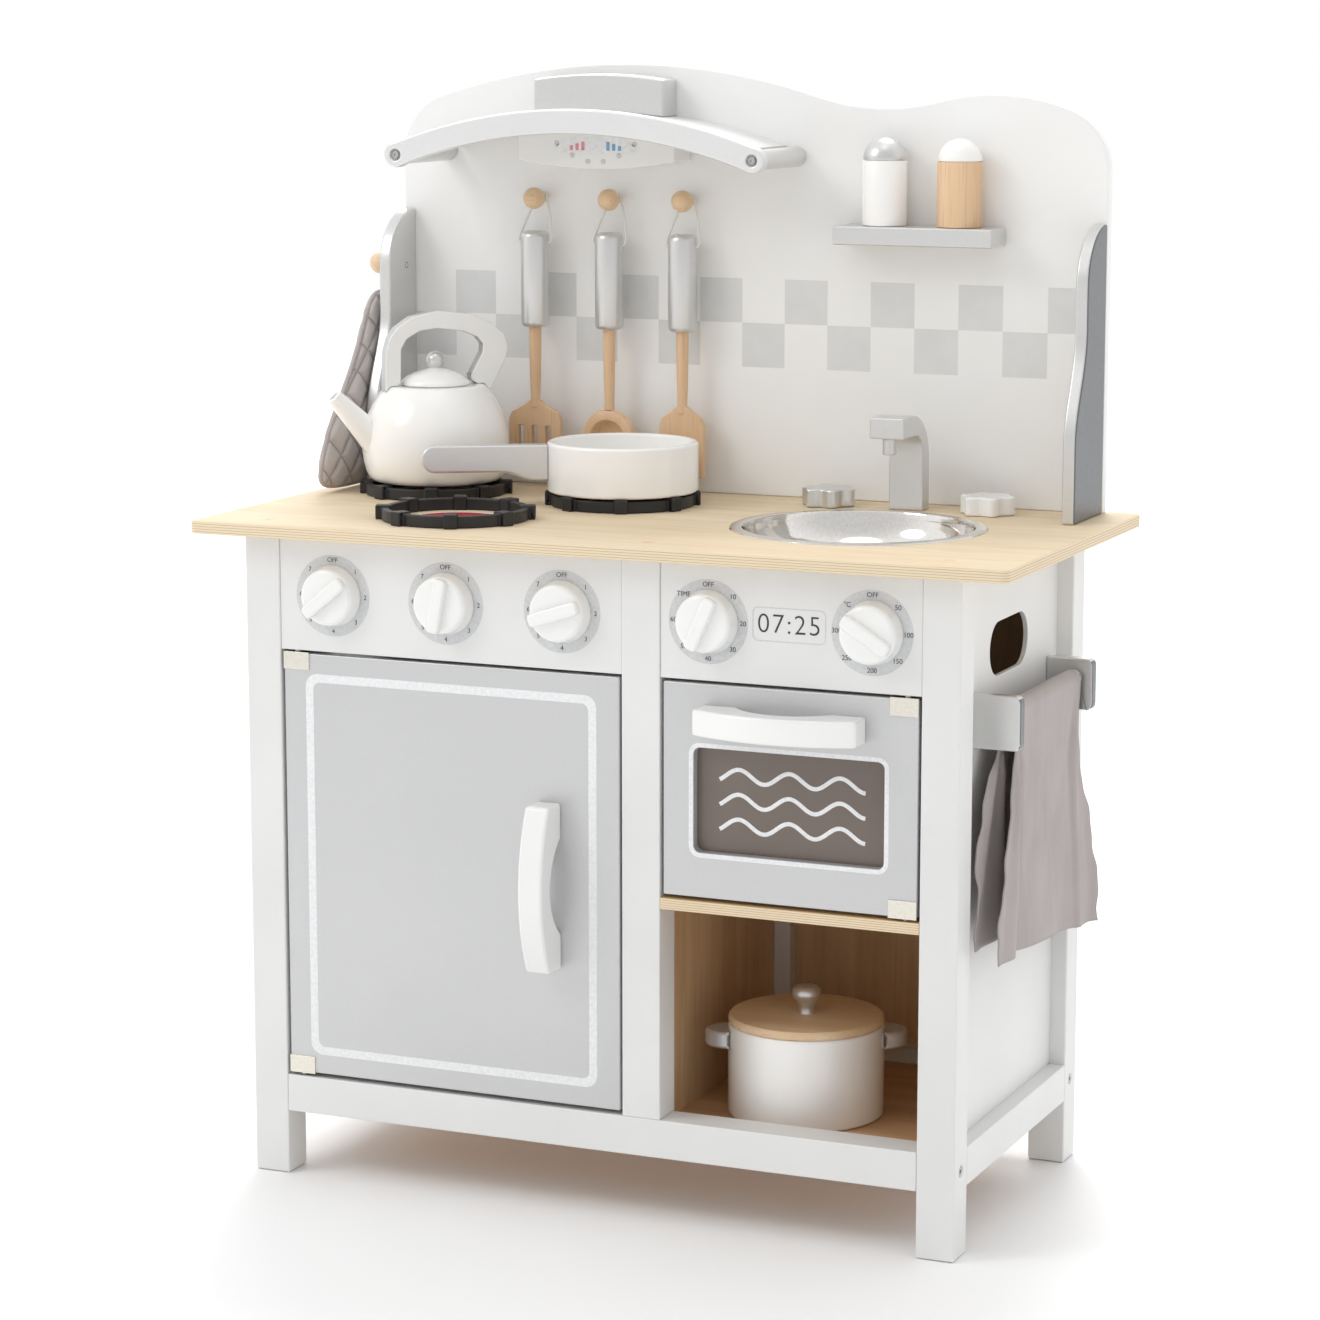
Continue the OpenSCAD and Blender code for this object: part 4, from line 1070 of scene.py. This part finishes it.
def build_blade(node, width, slots):
    half = width / 2
    thick = 5.6 * MM
    edge = [(half * 0.94, 0), (half, 2), (half, 38), (half * 0.9, 43), (7.5, 48.6), (4, 52)]
    outline = in_mm([(-half * 0.94, 0), *edge, *[(-u, v) for u, v in reversed(edge[1:])]])
    holes = [rounded_rect(((k - (slots - 1) / 2) * 11 * MM, 19 * MM), 4.4 * MM, 28 * MM,
                          1.2 * MM, 3) for k in range(slots)]
    place = (middle(node).x, middle(node).y + thick / 2, low(node).z)
    blade = prism(node + "_blade", outline, thick, FRONT, place, holes)
    round_edges(blade, 1.0 * MM, 3)
    give_as(blade, beech, node, False)


def build_spoon_bowl():
    bowl_r = 21.5
    profile = in_mm([(0, 1), (7, 0.8), (10, -0.8), (12.4, -3.4), (14, -4.8), (17.6, -5),
                     (20.4, -3.6), (bowl_r, -1), (20.8, 1.8), (17.6, 4.2), (12, 4.9), (0, 5)])
    place = above("spoon", low("spoon").z + bowl_r * MM)
    give_as(lathe("spoon_bowl", profile, place, turned(-90, "X"), 72), beech, "spoon", False)


def build_utensils():
    for node in UTENSILS:
        build_grip(node)
        build_loop(node)
    build_blade("slotted_turner", 42, 3)
    build_blade("turner", 35, 0)
    build_spoon_bowl()


# ---------------- towel

# Width and length of the towel laid flat, and how much of the length hangs on the inner side
TOWEL_FLAT = (0.2, 0.352)
TOWEL_INNER = 0.167


def towel_point(across, along):
    """Where a point of the cloth hangs: across runs -1 to 1 front to back, along is the
    signed length from the fold over the bar, negative on the flap beside the cabinet."""
    bar_x = 272 * MM
    bar_z = 360 * MM
    fold_r = 6.6 * MM
    half_turn = math.pi * fold_r / 2
    side = 1 if along > 0 else -1
    hang = max(0.0, abs(along) - half_turn)
    spread = min(1.0, hang / (165 * MM))
    ease = spread * spread * (3 - 2 * spread)
    outer = side > 0
    flare = ease if outer else min(1.0, max(0.0, hang - 26 * MM) / (60 * MM)) ** 0.7
    half = (69 + (38 if outer else 33) * flare) * MM
    y = (16 - (7 if outer else 11) * flare) * MM + half * across
    if abs(along) < half_turn:
        angle = along / fold_r
        x = bar_x + fold_r * math.sin(angle)
        z = bar_z + fold_r * math.cos(angle)
    else:
        x = bar_x + side * fold_r
        z = bar_z - hang * (0.97 + 0.04 * across if outer else 0.985)
    folds = 2.2 * math.sin(4.4 * across + 1.1 * side) + 1.1 * math.sin(8.3 * across + 2.4)
    folds += 0.7 * math.sin(13.1 * across + hang / (31 * MM))
    depth = (0.12 + 0.88 * ease) if outer else 0.4 * ease
    lean = (3.0 + 11.0 * max(0.0, across) ** 1.5) * ease if outer else -1.2 * ease
    x += (folds * depth + lean) * MM
    edge = max(0.0, abs(across) - 0.82) / 0.18
    wave = math.sin(hang / (7.6 * MM) + 1.7 * across) + 0.5 * math.sin(hang / (3.4 * MM))
    x += 0.7 * MM * wave * edge * edge
    y += 0.8 * MM * wave * edge * edge
    return Vector((x, y, z))


def build_towel():
    columns = 72
    rows = 132
    bm = bmesh.new()
    grid = []
    for j in range(rows + 1):
        along = -TOWEL_INNER + TOWEL_FLAT[1] * j / rows
        grid.append([bm.verts.new(towel_point(-1 + 2 * i / columns, along))
                     for i in range(columns + 1)])
    for j in range(rows):
        for i in range(columns):
            bm.faces.new((grid[j][i], grid[j][i + 1], grid[j + 1][i + 1], grid[j + 1][i]))
    piece = from_bmesh("towel_sheet", bm)
    hang_cloth(piece, grid_pins(columns, rows))
    solid = piece.modifiers.new("cloth_thickness", "SOLIDIFY")
    solid.thickness = 0.9 * MM
    solid.offset = 0
    smooth(piece, 80)
    give_as(piece, towel_cloth, "towel")
    hems = build_hems(piece, columns, rows)


def grid_pins(columns, rows):
    """Vertices that lie on the bar and stay there."""
    middle_row = round(rows * TOWEL_INNER / TOWEL_FLAT[1])
    near = range(middle_row - 3, middle_row + 4)
    return [j * (columns + 1) + i for j in near for i in range(columns + 1)]


def run_cloth(piece, frames, cap, gravity, **values):
    """Simulates the piece as cloth for some frames and keeps the result in its mesh, with
    no point moved further than the cap."""
    cloth = piece.modifiers.new("cloth", "CLOTH")
    for key, value in values.items():
        setattr(cloth.settings, key, value)
    cloth.settings.effector_weights.gravity = gravity
    cloth.collision_settings.use_collision = False
    cloth.point_cache.frame_start = 1
    cloth.point_cache.frame_end = frames
    start = [v.co.copy() for v in piece.data.vertices]
    scene = bpy.context.scene
    for step in range(1, frames + 1):
        scene.frame_set(step)
    graph = bpy.context.evaluated_depsgraph_get()
    settled = [v.co.copy() for v in piece.evaluated_get(graph).data.vertices]
    piece.modifiers.remove(cloth)
    for vertex, before, after in zip(piece.data.vertices, start, settled):
        move = after - before
        if move.length > cap:
            move = move.normalized() * cap
        vertex.co = before + move
    scene.frame_set(1)


def hang_cloth(piece, pins):
    """Lets the cloth settle under its own weight, held where it lies on the bar."""
    piece.vertex_groups.new(name="pins").add(pins, 1.0, "REPLACE")
    run_cloth(piece, 14, 5 * MM, 1, quality=6, mass=0.12, tension_stiffness=25,
              compression_stiffness=25, shear_stiffness=12, bending_stiffness=0.6,
              vertex_group_mass="pins")


def build_hems(sheet, columns, rows):
    """Overlocked side edges and the stitched fold of each hem, as raised beads."""
    places = [v.co.copy() for v in sheet.data.vertices]
    width = columns + 1
    pieces = []
    for name, column in (("towel_edge_front", 0), ("towel_edge_back", columns)):
        line = [places[j * width + column] for j in range(0, rows + 1, 2)]
        pieces.append(tube(name, line, 0.7 * MM, resolution=2))
    for name, row in (("towel_hem_inner", 4), ("towel_hem_outer", rows - 4)):
        line = [places[row * width + i] for i in range(1, columns)]
        pieces.append(tube(name, line, 0.55 * MM, resolution=2))
    for piece in pieces:
        give_as(piece, towel_cloth, "towel", False)
    return pieces


# ---------------- oven mitt

MITT_OUTLINE = ((24, 476), (42, 472.6), (80, 472), (112, 473), (130, 480), (140, 496), (143, 520),
                (142, 556), (137, 604), (132, 611), (112, 611), (101, 602), (84, 574), (70, 554),
                (52, 534), (37, 516), (26, 496), (22, 484))


def build_mitt():
    thick = 9 * MM
    outer = low("oven_mitt").x + 2.5 * MM
    piece = prism("oven_mitt_pad", in_mm(MITT_OUTLINE), thick, SIDE, (outer, 0, 0))
    remesh = piece.modifiers.new("even_mesh", "REMESH")
    remesh.mode = "VOXEL"
    remesh.voxel_size = 2.6 * MM
    apply_modifiers(piece)
    puff(piece)
    quilt(piece, outer + thick / 2)
    piece.modifiers.new("finer", "SUBSURF").render_levels = 1
    smooth(piece, 80)
    give_as(piece, mitt_cloth, "oven_mitt")
    build_mitt_trim(outer + thick / 2)


def apply_modifiers(piece):
    graph = bpy.context.evaluated_depsgraph_get()
    mesh = bpy.data.meshes.new_from_object(piece.evaluated_get(graph))
    piece.modifiers.clear()
    piece.data = mesh


def puff(piece):
    """Fills the pad with pressure and lets it swell by a few millimetres at most."""
    run_cloth(piece, 12, 2.2 * MM, 0, quality=4, use_pressure=True,
              uniform_pressure_force=3.0)


def quilt(piece, middle_x):
    """Presses diagonal seams into both faces and puffs the diamonds between them."""
    for vertex in piece.data.vertices:
        side = vertex.co.x - middle_x
        if abs(side) < 2.2 * MM:
            continue
        seam = min(abs(math.sin(math.pi * diagonal / QUILT_PITCH))
                   for diagonal in (vertex.co.y + vertex.co.z, vertex.co.y - vertex.co.z))
        puffed = 1 - math.exp(-(seam / 0.3) ** 2)
        vertex.co.x -= math.copysign((1 - puffed) * 1.9 * MM, side)


def build_mitt_trim(middle_x):
    """Piping round the pad and the tape that it hangs by."""
    outline = [(middle_x, y, z) for y, z in in_mm(MITT_OUTLINE)]
    piping = tube("oven_mitt_piping", outline, 1.9 * MM, closed=True)
    give_as(piping, trim_cloth, "oven_mitt", False)
    bend_r = 5.0
    tape_x = low("left_wing").x - 4.6 * MM
    down = [(4.6, -2), (5.6, -8), (5.2, -16), (4.5, -25)]
    path = [*[(-u, v) for u, v in reversed(down)], *arc((0, 0), bend_r, 160, 20, 7), *down]
    points = [(tape_x, MITT_PEG[0] + u, MITT_PEG[1] + v) for u, v in in_mm(path)]
    tape = tube("oven_mitt_tape", points, 1.7 * MM)
    stretch(tape, (tape_x, 0, 0), (1.7, 1, 1))
    give_as(tape, trim_cloth, "oven_mitt", False)


# ---------------- the whole kitchen

add_camera()
add_studio()
build_cabinet()
build_worktop()
build_back_wall()
build_hood()
build_screws()
build_doors()
for dial_node, dial_turn, dial_marks in DIALS:
    build_knob(dial_node, dial_turn, dial_marks)
build_clock()
build_sink()
build_rings()
build_taps()
build_kettle()
build_pan()
build_pot()
build_shaker("salt_shaker", ware_white, silver_paint)
build_shaker("pepper_shaker", beech, ware_white)
build_pegs()
build_utensils()
build_towel()
build_mitt()
